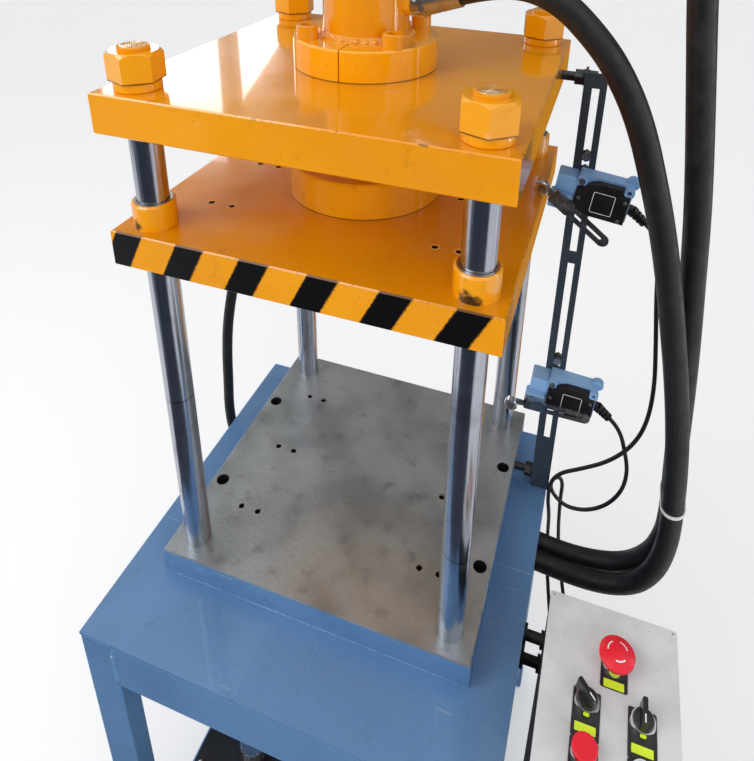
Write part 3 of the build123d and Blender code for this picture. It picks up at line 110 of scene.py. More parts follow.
class Recipe:
    """A node material being written around one Principled shader."""

    def __init__(self, name: str) -> None:
        """Starts the material.

        Args:
            name: the material's name.
        """
        self.material = bpy.data.materials.new(name)
        self.material.use_nodes = True
        tree = self.material.node_tree
        self.nodes = tree.nodes
        self.links = tree.links
        self.shader = self.nodes["Principled BSDF"]
        self.place = self.nodes.new("ShaderNodeTexCoord").outputs["Object"]

    def feed(self, socket: Socket, value: object) -> None:
        """Links a socket to another, or sets its own value.

        Args:
            socket: the input to fill.
            value: an output socket, a number or a colour.
        """
        if isinstance(value, bpy.types.NodeSocket):
            self.links.new(value, socket)
        elif isinstance(value, tuple) and len(value) == 3 and len(socket.default_value) == 4:
            socket.default_value = (*value, 1.0)
        else:
            socket.default_value = value

    def set(self, **sockets: object) -> None:
        """Fills sockets of the Principled shader, with underscores for the blanks in their names."""
        for name, value in sockets.items():
            self.feed(self.shader.inputs[name.replace("_", " ")], value)

    def noise(self, scale: float, detail: float, stretch: Point | None = None) -> Socket:
        """Noise about 0.5.

        Args:
            scale: cells for each metre.
            detail: how many finer octaves it has.
            stretch: factors along the axes, or None for even noise.

        Returns:
            The noise value.
        """
        place = self.place
        if stretch:
            mapping = self.nodes.new("ShaderNodeMapping")
            self.links.new(place, mapping.inputs["Vector"])
            mapping.inputs["Scale"].default_value = stretch
            place = mapping.outputs["Vector"]
        node = self.nodes.new("ShaderNodeTexNoise")
        self.links.new(place, node.inputs["Vector"])
        node.inputs["Scale"].default_value = scale
        node.inputs["Detail"].default_value = detail
        return node.outputs[0]

    def calc(self, operation: str, first: object, second: object = 0.0) -> Socket:
        """One Math node.

        Args:
            operation: the node's operation.
            first: its first operand.
            second: its second operand.

        Returns:
            The result.
        """
        node = self.nodes.new("ShaderNodeMath")
        node.operation = operation
        self.feed(node.inputs[0], first)
        self.feed(node.inputs[1], second)
        return node.outputs[0]

    def plus(self, first: object, second: object) -> Socket:
        """The sum of two numbers."""
        return self.calc("ADD", first, second)

    def minus(self, first: object, second: object) -> Socket:
        """The first number less the second."""
        return self.calc("SUBTRACT", first, second)

    def times(self, first: object, second: object) -> Socket:
        """The product of two numbers."""
        return self.calc("MULTIPLY", first, second)

    def above(self, value: Socket, level: float) -> Socket:
        """1 where the value is above the level, and 0 elsewhere."""
        return self.calc("GREATER_THAN", value, level)

    def size_of(self, value: Socket) -> Socket:
        """The value without its sign."""
        return self.calc("ABSOLUTE", value)

    def between(self, value: Socket, low: float, high: float, start: float = 0.0, end: float = 1.0) -> Socket:
        """A smooth step from start at low to end at high.

        Args:
            value: the value that is mapped.
            low: where the step begins.
            high: where the step ends.
            start: the result below low.
            end: the result above high.

        Returns:
            The mapped value.
        """
        node = self.nodes.new("ShaderNodeMapRange")
        node.interpolation_type = "SMOOTHSTEP"
        names = ("Value", "From Min", "From Max", "To Min", "To Max")
        for name, part in zip(names, (value, low, high, start, end)):
            self.feed(node.inputs[name], part)
        return node.outputs["Result"]

    def patches(self, kind: Patches) -> Socket:
        """A patchy pattern's value."""
        noise = self.noise(kind.scale, kind.detail, kind.stretch)
        return self.between(noise, kind.low, kind.high, kind.start, kind.end)

    def uneven(self, scale: float, low: float, high: float) -> Socket:
        """A value that wanders from low to high over the surface."""
        return self.patches(replace(UNEVEN, scale=scale, start=low, end=high))

    def specks(self, kind: Specks) -> Socket:
        """A speckled pattern's value.

        Args:
            kind: the pattern.

        Returns:
            Its full value on a speck and 0 off them.
        """
        node = self.nodes.new("ShaderNodeTexVoronoi")
        self.links.new(self.place, node.inputs["Vector"])
        node.inputs["Scale"].default_value = kind.scale
        return self.between(node.outputs["Distance"], kind.inner, kind.outer, kind.full, 0.0)

    def mix(self, share: object, first: object, second: object) -> Socket:
        """A blend of two colours.

        Args:
            share: how much of the second there is.
            first: the colour at 0.
            second: the colour at 1.

        Returns:
            The blended colour.
        """
        node = self.nodes.new("ShaderNodeMix")
        node.data_type = "RGBA"
        self.feed(node.inputs[0], share)
        self.feed(node.inputs[6], first)
        self.feed(node.inputs[7], second)
        return node.outputs[2]

    def blend(self, share: Socket, first: object, second: object) -> Socket:
        """A blend of two numbers.

        Args:
            share: how much of the second there is.
            first: the number at 0.
            second: the number at 1.

        Returns:
            The blended number.
        """
        node = self.nodes.new("ShaderNodeMix")
        self.feed(node.inputs[0], share)
        self.feed(node.inputs[2], first)
        self.feed(node.inputs[3], second)
        return node.outputs[0]

    def axes(self) -> tuple[Socket, Socket, Socket]:
        """The surface's place.

        Returns:
            Its X, Y and Z in metres.
        """
        node = self.nodes.new("ShaderNodeSeparateXYZ")
        self.links.new(self.place, node.inputs[0])
        return tuple(node.outputs)

    def away_from(self, middle: Point) -> Socket:
        """The distance from a point, in metres.

        Args:
            middle: the point, in the press's frame.

        Returns:
            The distance.
        """
        node = self.nodes.new("ShaderNodeVectorMath")
        node.operation = "DISTANCE"
        self.links.new(self.place, node.inputs[0])
        node.inputs[1].default_value = middle
        return node.outputs["Value"]

    def bump(self, height: Socket, distance: float, under: Socket | None = None) -> Socket:
        """A bump from a height.

        Args:
            height: the height, from 0 to 1.
            distance: how high 1 is, in metres.
            under: a bump that this one lies on.

        Returns:
            The bumped normal.
        """
        node = self.nodes.new("ShaderNodeBump")
        node.inputs["Strength"].default_value = 1.0
        node.inputs["Distance"].default_value = distance
        self.links.new(height, node.inputs["Height"])
        if under:
            self.links.new(under, node.inputs["Normal"])
        return node.outputs["Normal"]


def dimmed(colour: Colour, share: float) -> Colour:
    """A colour at a share of its brightness."""
    return tuple(share * part for part in colour)


class Zone(Enum):
    """Where a painted plate shows bare metal."""

    HOLES = "holes"
    TOP_AND_HOLES = "top and holes"


@dataclass(frozen=True)
class GroundSteel:
    """Bare surface-ground plate with stains and fine grinding marks."""

    light: Colour = (0.400, 0.434, 0.455)
    dark: Colour = (0.265, 0.290, 0.305)
    stain: Colour = (0.25, 0.255, 0.245)
    glint: Colour = (0.85, 0.85, 0.83)
    hole: Colour = (0.035, 0.034, 0.034)
    metallic: float = 0.62
    hole_rough: float = 0.5
    mottle_share: float = 0.55
    clouds: Patches = Patches(9.0, 8.0, 0.36, 0.66)
    rust: Patches = Patches(15.0, 9.0, 0.58, 0.74, 0.0, 0.45, (1.0, 1.6, 1.0))
    pits: Specks = Specks(120.0, 0.05, 0.13, 0.75)
    pitted: Patches = Patches(22.0, 4.0, 0.5, 0.62)
    mottles: Patches = Patches(34.0, 9.0, 0.56, 0.74, 0.0, 0.5)
    glints: Specks = Specks(95.0, 0.03, 0.06, 0.9)
    glinting: Patches = Patches(14.0, 4.0, 0.52, 0.6)
    grinding: Patches = Patches(26.0, 6.0, 0.3, 0.7, 0.27, 0.36)

    def tone(self, recipe: Recipe) -> Socket:
        """The plate's stained colour.

        Args:
            recipe: the material it is written in.

        Returns:
            The colour.
        """
        colour = recipe.mix(recipe.patches(self.clouds), self.light, self.dark)
        colour = recipe.mix(recipe.patches(self.rust), colour, self.stain)
        pits = recipe.times(recipe.specks(self.pits), recipe.patches(self.pitted))
        colour = recipe.mix(pits, colour, self.hole)
        colour = recipe.mix(recipe.patches(self.mottles), colour, dimmed(self.dark, self.mottle_share))
        glints = recipe.times(recipe.specks(self.glints), recipe.patches(self.glinting))
        return recipe.mix(glints, colour, self.glint)


@dataclass(frozen=True)
class SootSpot:
    """A ragged burnt smudge on a painted surface."""

    middle: Point
    reach: float
    ragged: float = 0.3
    core: float = 0.35
    darkest: float = 0.95
    colour: Colour = (0.012, 0.010, 0.008)

    def over(self, recipe: Recipe, tone: Socket) -> Socket:
        """Lays the smudge over a colour.

        Args:
            recipe: the material it is written in.
            tone: the colour under it.

        Returns:
            The smudged colour.
        """
        wobble = self.ragged * self.reach
        edge = recipe.patches(Patches(160.0, 6.0, 0.2, 0.8, -wobble, wobble))
        away = recipe.plus(recipe.away_from(self.middle), edge)
        share = recipe.between(away, self.core * self.reach, self.reach, self.darkest, 0.0)
        return recipe.mix(share, tone, self.colour)


@dataclass(frozen=True)
class Paint:
    """Sprayed enamel with orange peel, dust specks, thin scratches and uneven tone."""

    name: str
    colour: Colour
    shade: Colour
    gloss: float = 0.16
    gloss_spread: float = 0.10
    gloss_scale: float = 18.0
    coat: float = 0.8
    peel: float = 0.00012
    peel_scale: float = 170.0
    peel_detail: float = 2.0
    clouds: Patches = Patches(5.0, 3.0, 0.35, 0.68)
    grime: Patches = Patches(55.0, 9.0, 0.60, 0.74, 0.0, 0.22)
    grime_share: float = 0.45
    dust: Specks = Specks(75.0, 0.035, 0.07, 0.8)
    dust_height: float = 0.0002
    scratches: Patches = Patches(30.0, 3.0, 0.715, 0.74, 0.0, 0.13, (0.3, 5.0, 2.0))
    scratch: Colour = (0.85, 0.84, 0.80)
    glints: Specks | None = None
    glinting: Patches = Patches(13.0, 5.0, 0.53, 0.62)
    glint: Colour = (1.0, 0.88, 0.62)
    soot: tuple[SootSpot, ...] = ()
    seams: tuple[float, ...] = ()
    seam: Colour = (0.02, 0.012, 0.006)
    seam_half: float = 0.0006
    seam_fade: float = 0.00144
    seam_depth: float = 0.75

    def base(self, recipe: Recipe) -> tuple[Socket, Socket, Socket]:
        """The paint's colour, roughness and bump.

        Args:
            recipe: the material it is written in.

        Returns:
            The colour, the roughness and the normal.
        """
        grimy = dimmed(self.shade, self.grime_share)
        tone = recipe.mix(recipe.patches(self.clouds), self.colour, self.shade)
        tone = recipe.mix(recipe.patches(self.grime), tone, grimy)
        specks = recipe.specks(self.dust)
        tone = recipe.mix(specks, tone, grimy)
        tone = recipe.mix(recipe.patches(self.scratches), tone, self.scratch)
        if self.glints:
            glints = recipe.times(recipe.specks(self.glints), recipe.patches(self.glinting))
            tone = recipe.mix(glints, tone, self.glint)
        for spot in self.soot:
            tone = spot.over(recipe, tone)
        _, _, z = recipe.axes()
        for level in self.seams:
            away = recipe.size_of(recipe.minus(z, level))
            line = recipe.between(away, self.seam_half, self.seam_fade, self.seam_depth, 0.0)
            tone = recipe.mix(line, tone, self.seam)
        rough = recipe.uneven(self.gloss_scale, self.gloss, self.gloss + self.gloss_spread)
        normal = recipe.bump(recipe.noise(self.peel_scale, self.peel_detail), self.peel)
        return tone, rough, recipe.bump(specks, self.dust_height, normal)

    def make(self) -> bpy.types.Material:
        """Writes the paint as a material.

        Returns:
            The material.
        """
        recipe = Recipe(self.name)
        tone, rough, normal = self.base(recipe)
        recipe.set(Base_Color=tone, Roughness=rough, Normal=normal)
        recipe.set(Coat_Weight=self.coat, Coat_Roughness=COAT_ROUGHNESS)
        return recipe.material


@dataclass(frozen=True)
class HazardStripes:
    """Black stripes sprayed across a plate's front face."""

    start_x: float = -0.212
    pitch: float = 0.077
    width: float = 0.035
    slant: float = 0.5
    black: Colour = (0.0035, 0.0033, 0.0032)
    rough: float = 0.30
    ragged: Patches = Patches(420.0, 5.0, 0.25, 0.75, -0.0006, 0.0006)
    fade_in: float = 0.0019
    fade_out: float = 0.0015
    front_full: float = 0.0014
    front_gone: float = 0.0020

    def share(self, recipe: Recipe, node: str) -> Socket:
        """How black the plate is.

        Args:
            recipe: the material it is written in.
            node: the plate.

        Returns:
            1 inside a stripe and 0 outside.
        """
        low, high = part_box(node)
        half = self.width / 2
        x, y, z = recipe.axes()
        leaned = recipe.times(recipe.minus(high.z, z), self.slant)
        along = recipe.plus(recipe.minus(x, self.start_x), leaned)
        phase = recipe.plus(recipe.plus(along, recipe.patches(self.ragged)), self.pitch)
        from_middle = recipe.size_of(recipe.minus(recipe.calc("MODULO", phase, self.pitch), half))
        stripe = recipe.between(from_middle, half - self.fade_in, half + self.fade_out, 1.0, 0.0)
        front = recipe.between(y, low.y + self.front_full, low.y + self.front_gone, 1.0, 0.0)
        return recipe.times(stripe, front)


@dataclass(frozen=True)
class PlateFinish:
    """Paint on a drilled plate, with bare metal where its zone says, and painted shade darkening its top
    where asked.
    """

    paint: Paint
    node: str
    zone: Zone
    stripes: HazardStripes | None = None
    steel: GroundSteel = GroundSteel()
    chamfer: float = 0.0016
    chip: Colour = (0.07, 0.03, 0.01)
    chipped: Patches = Patches(130.0, 6.0, 0.60, 0.63)
    chip_full: float = 0.0010
    chip_gone: float = 0.0024
    # top: painted shade and reflection, a darker brown laid over the top face for the shade under the upper
    # plate
    top: Colour = (0.40, 0.13, 0.001)
    top_shade_share: float = 0.0

    def from_sides(self, recipe: Recipe) -> Socket:
        """The distance in from the plate's nearest side.

        Args:
            recipe: the material it is written in.

        Returns:
            The distance, in metres.
        """
        _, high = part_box(self.node)
        x, y, _ = recipe.axes()
        side = recipe.minus(high.x, recipe.size_of(x))
        return recipe.calc("MINIMUM", side, recipe.minus(high.y, recipe.size_of(y)))

    def bare(self, recipe: Recipe) -> tuple[Socket, Socket]:
        """Masks of the hole walls and of the bare top.

        Args:
            recipe: the material they are written in.

        Returns:
            The hole mask and the top mask.
        """
        low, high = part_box(self.node)
        _, _, z = recipe.axes()
        levels = recipe.calc("MINIMUM", recipe.minus(high.z, z), recipe.minus(z, low.z))
        depth = recipe.calc("MINIMUM", self.from_sides(recipe), levels)
        return recipe.above(depth, self.chamfer), recipe.above(z, high.z - self.chamfer)

    def chips(self, recipe: Recipe) -> Socket:
        """Small chips along the plate's top edges.

        Args:
            recipe: the material they are written in.

        Returns:
            1 on a chip and 0 elsewhere.
        """
        _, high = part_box(self.node)
        _, _, z = recipe.axes()
        inward = recipe.plus(recipe.minus(high.z, z), self.from_sides(recipe))
        near = recipe.between(inward, self.chip_full, self.chip_gone, 1.0, 0.0)
        return recipe.times(near, recipe.patches(self.chipped))

    def make(self) -> bpy.types.Material:
        """Writes the plate's finish as a material.

        Returns:
            The material.
        """
        recipe = Recipe(f"{self.node}_finish")
        tone, rough, normal = self.paint.base(recipe)
        tone = recipe.mix(self.chips(recipe), tone, self.chip)
        coat: object = self.paint.coat
        if self.stripes:
            black = self.stripes.share(recipe, self.node)
            tone = recipe.mix(black, tone, self.stripes.black)
            rough = recipe.blend(black, rough, self.stripes.rough)
            coat = recipe.blend(black, coat, 0.0)
        holes, top = self.bare(recipe)
        metal = holes
        # Painted shade and reflection: the top face is darkened towards the top colour.
        if self.top_shade_share:
            tone = recipe.mix(recipe.times(top, self.top_shade_share), tone, self.top)
        if self.zone is Zone.TOP_AND_HOLES:
            tone = recipe.mix(top, tone, self.steel.tone(recipe))
            rough = recipe.blend(top, rough, recipe.patches(self.steel.grinding))
            metal = recipe.calc("MAXIMUM", top, holes)
        tone = recipe.mix(holes, tone, self.steel.hole)
        rough = recipe.blend(holes, rough, self.steel.hole_rough)
        metallic = recipe.times(metal, self.steel.metallic)
        recipe.set(Base_Color=tone, Roughness=rough, Normal=normal, Metallic=metallic)
        if self.zone is not Zone.TOP_AND_HOLES:
            recipe.set(Coat_Weight=coat, Coat_Roughness=COAT_ROUGHNESS)
        return recipe.material


@dataclass(frozen=True)
class Metal:
    """Turned, ground, plated or brushed metal with streaks and a little oil."""

    name: str
    colour: Colour
    shade: Colour
    rough: float = 0.14
    spread: float = 0.10
    rough_scale: float = 32.0
    grain: Point = (1.0, 1.0, 1.0)
    grain_scale: float = 60.0
    grain_detail: float = 5.0
    streaks: Span = (0.3, 0.7)
    relief: float = 0.00004
    oil: Patches = Patches(24.0, 7.0, 0.58, 0.74, 0.0, 0.45)
    oil_share: float = 0.5

    def base(self, recipe: Recipe) -> tuple[Socket, Socket, Socket]:
        """The metal's colour, roughness and bump.

        Args:
            recipe: the material it is written in.

        Returns:
            The colour, the roughness and the normal.
        """
        grain = recipe.noise(self.grain_scale, self.grain_detail, self.grain)
        tone = recipe.mix(recipe.between(grain, *self.streaks), self.colour, self.shade)
        tone = recipe.mix(recipe.patches(self.oil), tone, dimmed(self.shade, self.oil_share))
        rough = recipe.uneven(self.rough_scale, self.rough, self.rough + self.spread)
        return tone, rough, recipe.bump(grain, self.relief)

    def make(self) -> bpy.types.Material:
        """Writes the metal as a material.

        Returns:
            The material.
        """
        recipe = Recipe(self.name)
        tone, rough, normal = self.base(recipe)
        recipe.set(Base_Color=tone, Metallic=1.0, Roughness=rough, Normal=normal)
        return recipe.material


@dataclass(frozen=True)
class ColumnFinish:
    """Chrome on a column's length, and paint worn to bright turning rings on its end."""

    node: str
    chrome: Metal
    paint: Paint
    painted_from: float
    mark_z: float = 0.0
    mark_slope: float = 0.0
    mark: Colour = (0.10, 0.09, 0.08)
    mark_half: float = 0.0006
    mark_fade: float = 0.0012
    mark_depth: float = 0.8
    mark_back: float = 0.006
    ring_pitch: float = 0.0021
    ring_height: float = 0.0004
    ring_full: float = 0.8
    ring_wobble: Patches = Patches(70.0, 4.0, 0.3, 0.7, -0.9, 0.9)
    end_depth: float = 0.0004
    bright: Colour = (0.93, 0.86, 0.66)

    def marked(self, recipe: Recipe, chrome: Socket, across: Socket, deep: Socket) -> Socket:
        """Draws a dark line across the column's front, at mark_z and sloping with mark_slope.

        Args:
            recipe: the material it is written in.
            chrome: the chrome's colour.
            across: the distance to the right of the column's axis.
            deep: the distance behind it.

        Returns:
            The marked colour.
        """
        _, _, z = recipe.axes()
        level = recipe.minus(z, recipe.times(across, self.mark_slope))
        off = recipe.size_of(recipe.minus(level, self.mark_z))
        line = recipe.between(off, self.mark_half, self.mark_fade, self.mark_depth, 0.0)
        front = recipe.calc("LESS_THAN", deep, self.mark_back)
        return recipe.mix(recipe.times(line, front), chrome, self.mark)

    def make(self) -> bpy.types.Material:
        """Writes the column's finish as a material.

        Returns:
            The material.
        """
        recipe = Recipe(f"{self.node}_finish")
        low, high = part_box(self.node)
        x, y, z = recipe.axes()
        across = recipe.minus(x, (low.x + high.x) / 2)
        deep = recipe.minus(y, (low.y + high.y) / 2)
        radius = recipe.calc("SQRT", recipe.plus(recipe.times(across, across), recipe.times(deep, deep)))
        wave = recipe.calc("SINE", recipe.times(radius, 2 * math.pi / self.ring_pitch))
        rings = recipe.between(recipe.plus(wave, recipe.patches(self.ring_wobble)), 0.0, self.ring_full)
        on_end = recipe.above(z, high.z - self.end_depth)
        worn = recipe.times(rings, on_end)
        painted = recipe.above(z, self.painted_from)
        tone, rough, _ = self.paint.base(recipe)
        chrome, polish, normal = self.chrome.base(recipe)
        normal = recipe.bump(recipe.times(wave, on_end), self.ring_height, normal)
        if self.mark_z:
            chrome = self.marked(recipe, chrome, across, deep)
        tone = recipe.mix(painted, chrome, recipe.mix(worn, tone, self.bright))
        metal = recipe.minus(1.0, recipe.times(painted, recipe.minus(1.0, worn)))
        rough = recipe.blend(painted, polish, rough)
        recipe.set(Base_Color=tone, Roughness=rough, Metallic=metal, Normal=normal)
        return recipe.material


@dataclass(frozen=True)
class Moulded:
    """Moulded plastic or rubber with a fine skin, dust and handling marks."""

    name: str
    colour: Colour
    worn: Colour
    rough: float = 0.4
    spread: float = 0.16
    rough_scale: float = 45.0
    coat: float = 0.0
    skin: float = 0.00012
    skin_scale: float = 500.0
    skin_detail: float = 3.0
    wear: Patches = Patches(38.0, 8.0, 0.5, 0.74, 0.0, 0.8)

    def make(self) -> bpy.types.Material:
        """Writes the moulding's finish as a material.

        Returns:
            The material.
        """
        recipe = Recipe(self.name)
        tone = recipe.mix(recipe.patches(self.wear), self.colour, self.worn)
        rough = recipe.uneven(self.rough_scale, self.rough, self.rough + self.spread)
        normal = recipe.bump(recipe.noise(self.skin_scale, self.skin_detail), self.skin)
        recipe.set(Base_Color=tone, Roughness=rough, Normal=normal, Coat_Weight=self.coat)
        return recipe.material


SLEEK = 0.00003
SHELL_SOOT = (
    SootSpot((0.180, -0.200, 0.5165), 0.0125),
    SootSpot((0.188, -0.200, 0.513), 0.010),
    SootSpot((-0.1905, -0.1975, 0.5175), 0.0085),
)
BEAD_GLINTS = Specks(300.0, 0.09, 0.15, 0.8)

YELLOW = Paint("press_yellow", (0.92, 0.365, 0.0015), (0.83, 0.305, 0.001), gloss=0.13)
PLATEN_GLINTS = replace(BEAD_GLINTS, full=0.5)
PLATEN_YELLOW = replace(YELLOW, name="platen_yellow", gloss=0.15, glints=PLATEN_GLINTS, coat=0.45)
# Painted light: the nuts' and washers' yellow is a brighter lit copy of the press yellow.
LIT_FASTENER_YELLOW = Paint("nut_yellow", (1.0, 0.43, 0.0015), (0.95, 0.37, 0.001), gloss=0.14, seams=(0.6823,))
# Painted light: the flange's yellow is a brighter lit copy of the press yellow, for the stronger light on it.
LIT_FLANGE_YELLOW = Paint("flange_yellow", (1.0, 0.44, 0.0015), (0.97, 0.39, 0.001), gloss=0.12, seams=(0.6723,))
RAM_YELLOW = Paint("ram_yellow", (0.93, 0.38, 0.0025), (0.84, 0.31, 0.002), gloss=0.15, seams=(0.5123,))
COLLAR_YELLOW = Paint("collar_yellow", (0.98, 0.41, 0.0015), (0.90, 0.34, 0.001), soot=SHELL_SOOT)
BLUE = Paint("table_blue", (0.116, 0.252, 0.478), (0.094, 0.216, 0.418), gloss=0.24, coat=0.35, peel=0.0003)
WELD_BLUE = Paint("weld_blue", (0.15, 0.30, 0.52), (0.094, 0.216, 0.418), gloss=0.12, glints=BEAD_GLINTS)
RAIL_BLUE = Paint("rail_blue", (0.040, 0.055, 0.075), (0.028, 0.040, 0.056), gloss=0.26, coat=0.2)
BLACK_PAINT = Paint("cabinet_black", (0.010, 0.010, 0.011), (0.016, 0.016, 0.017), gloss=0.5, coat=0.0)
TANK_PAINT = Paint("tank_black", (0.016, 0.016, 0.018), (0.026, 0.026, 0.029), gloss=0.28, coat=0.3)
MOTOR_PAINT = Paint("motor_blue", (0.06, 0.13, 0.26), (0.045, 0.10, 0.21), gloss=0.34, coat=0.15)
SWITCH_PAINT = Paint("switch_blue", (0.28, 0.50, 0.82), (0.22, 0.42, 0.74), gloss=0.34, coat=0.1, peel=0.0001)
PANEL_PAINT_AND_SHADE = Paint(
    "panel_grey",
    (0.765, 0.772, 0.785),
    (0.64, 0.648, 0.66),
    gloss=0.34,
    coat=0.1,
    # Painted shade: darker clouds that stand in for the devices' shadows on the panel.
    clouds=Patches(17.0, 3.0, 0.35, 0.68),
    grime=Patches(55.0, 9.0, 0.60, 0.74, 0.0, 0.15),
)
CHROME = Metal(
    "hard_chrome", (0.58, 0.61, 0.68), (0.46, 0.49, 0.56), rough=0.15, spread=0.08, grain=(6.0, 6.0, 0.12)
)
ZINC = Metal("zinc_steel", (0.55, 0.55, 0.55), (0.38, 0.38, 0.385), rough=0.26)
LEVER = Metal("lever_steel", (0.50, 0.485, 0.455), (0.24, 0.23, 0.215), rough=0.22, grain_scale=140.0)
DARK_STEEL = Metal("dark_steel", (0.09, 0.09, 0.095), (0.05, 0.05, 0.052), rough=0.34)
BEZEL = Metal("bezel_chrome", (0.78, 0.78, 0.79), (0.66, 0.66, 0.68), rough=0.10, spread=0.05)
BURR = Metal("hole_burr", (0.80, 0.78, 0.72), (0.40, 0.38, 0.34), rough=0.22, grain_scale=320.0)
HOSE = Moulded(
    "hose_rubber", (0.0075, 0.0078, 0.009), (0.017, 0.018, 0.021), rough=0.42, skin=0.0004, skin_scale=260.0
)
CABLE = Moulded("cable_rubber", (0.008, 0.008, 0.009), (0.018, 0.018, 0.019), rough=0.36)
COVER = Moulded("switch_black", (0.008, 0.008, 0.009), (0.020, 0.020, 0.022), rough=0.36)
LEGEND = Moulded("legend_black", (0.018, 0.018, 0.020), (0.032, 0.032, 0.034), rough=0.32)
KNOB = Moulded("knob_black", (0.010, 0.010, 0.011), (0.024, 0.024, 0.026), rough=0.24, coat=0.4)
RED = Moulded("signal_red", (0.86, 0.008, 0.030), (0.78, 0.006, 0.024), rough=0.34, skin=SLEEK)
GREEN = Moulded("signal_green", (0.010, 0.34, 0.10), (0.008, 0.27, 0.08), rough=0.20, coat=0.6, skin=SLEEK)
STRIP = Moulded("legend_strip", (0.78, 1.0, 0.035), (0.70, 0.93, 0.03), rough=0.36, skin=SLEEK)
WHITE = Moulded("white_mark", (0.86, 0.86, 0.86), (0.74, 0.74, 0.74), rough=0.34, skin=SLEEK)
RIM = Moulded("hole_rim", (0.90, 0.62, 0.25), (0.70, 0.42, 0.12), rough=0.30, skin=SLEEK)
NYLON = Moulded("tie_white", (0.84, 0.84, 0.85), (0.72, 0.72, 0.73), rough=0.30, skin=SLEEK)

Finish = Paint | PlateFinish | Metal | ColumnFinish | Moulded
MADE: dict[str, bpy.types.Material] = {}


def material_of(finish: Finish) -> bpy.types.Material:
    """A finish's material, made once.

    Args:
        finish: the finish.

    Returns:
        Its material.
    """
    key = repr(finish)
    if key not in MADE:
        MADE[key] = finish.make()
    return MADE[key]


def dress(finish: Finish, *nodes: str) -> None:
    """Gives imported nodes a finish.

    Args:
        finish: the finish.
        nodes: the nodes' names.
    """
    material = material_of(finish)
    for name in nodes:
        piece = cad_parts[name]
        if not piece.material_slots:
            piece.data.materials.append(None)
        for place in piece.material_slots:
            place.material = material
        piece["dressed"] = True
        LOG.info("%s: finished in %s", name, material.name)


def facing(origin: Point, across: Point, outward: Point) -> Matrix:
    """A flat face's own frame.

    Args:
        origin: where its origin lies.
        across: its X direction.
        outward: the way that it faces.

    Returns:
        The matrix from the face's frame to the press's.
    """
    out = Vector(outward).normalized()
    first = Vector(across).normalized()
    turned = Matrix((first, out.cross(first), out)).transposed().to_4x4()
    return Matrix.Translation(origin) @ turned


def level_at(x: float, y: float, z: float) -> Matrix:
    """The frame of a level face that looks up."""
    return facing((x, y, z), ACROSS, UPWARD)


def put(name: str, data: bpy.types.ID) -> bpy.types.Object:
    """Puts an object in the scene.

    Args:
        name: its name.
        data: the mesh, curve, lamp or camera that it holds.

    Returns:
        The object.
    """
    made = bpy.data.objects.new(name, data)
    bpy.context.scene.collection.objects.link(made)
    return made


def mesh_object(mesh: Mesh, name: str, material: bpy.types.Material) -> bpy.types.Object:
    """Turns finished geometry into an object of one material.

    Args:
        mesh: the geometry, which is freed.
        name: the object's name.
        material: its material.

    Returns:
        The object.
    """
    data = bpy.data.meshes.new(name)
    mesh.to_mesh(data)
    mesh.free()
    data.materials.append(material)
    return put(name, data)


def piece_from(
    mesh: Mesh,
    name: str,
    finish: Finish,
    body: str = FRAME_BODY,
    smooth: bool = False,
) -> None:
    """Turns finished geometry into a piece of the press.

    Args:
        mesh: the geometry, in the press's frame.
        name: the piece's name.
        finish: its finish.
        body: the body that it moves with.
        smooth: whether it is shaded smooth, with sharp edges kept.
    """
    bmesh.ops.recalc_face_normals(mesh, faces=mesh.faces)
    piece = mesh_object(mesh, name, material_of(finish))
    if smooth:
        piece.data.shade_smooth()
        piece.data.set_sharp_from_angle(angle=SMOOTH_BELOW)
    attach(piece, body)
    LOG.info("%s: %d faces on %s", name, len(piece.data.polygons), body)


def rounded_outline(width: float, height: float, radius: float, steps: int = 5) -> Outline:
    """A rounded rectangle about the origin.

    Args:
        width: its width.
        height: its height.
        radius: its corners' radius.
        steps: how many points a corner has past its first.

    Returns:
        Its points, anticlockwise.
    """
    points = []
    for corner, (sx, sy) in enumerate(((1, 1), (-1, 1), (-1, -1), (1, -1))):
        middle_x = sx * (width / 2 - radius)
        middle_y = sy * (height / 2 - radius)
        for step in range(steps + 1):
            angle = math.radians(90 * corner + 90 * step / steps)
            points.append((middle_x + radius * math.cos(angle), middle_y + radius * math.sin(angle)))
    return points


def join_loops(mesh: Mesh, low: Loop, high: Loop) -> None:
    """Joins two closed loops of points by a band of faces. A loop of one point is a tip.

    Args:
        mesh: the geometry that the faces join.
        low: the first loop.
        high: the second loop.
    """
    count = max(len(low), len(high))
    for side in range(count):
        after = (side + 1) % count
        ends = (low[side % len(low)], low[after % len(low)], high[after % len(high)], high[side % len(high)])
        mesh.faces.new(list(dict.fromkeys(ends)))


def add_bar(mesh: Mesh, loops: list[Loop]) -> None:
    """Skins a row of closed loops and closes both of its ends.

    Args:
        mesh: the geometry that it joins.
        loops: the loops of points, in order.
    """
    for low, high in zip(loops, loops[1:]):
        join_loops(mesh, low, high)
    mesh.faces.new(loops[0][::-1])
    mesh.faces.new(loops[-1])


def lay_outline(mesh: Mesh, outline: Outline, at: Matrix, height: float) -> Loop:
    """Lays an outline's points over a face, and returns them."""
    return [mesh.verts.new(at @ Vector((x, y, height))) for x, y in outline]


def add_slab(mesh: Mesh, outline: Outline, at: Matrix, thick: float) -> None:
    """Adds a flat plate of an outline, in a face's frame."""
    add_bar(mesh, [lay_outline(mesh, outline, at, height) for height in (0.0, thick)])


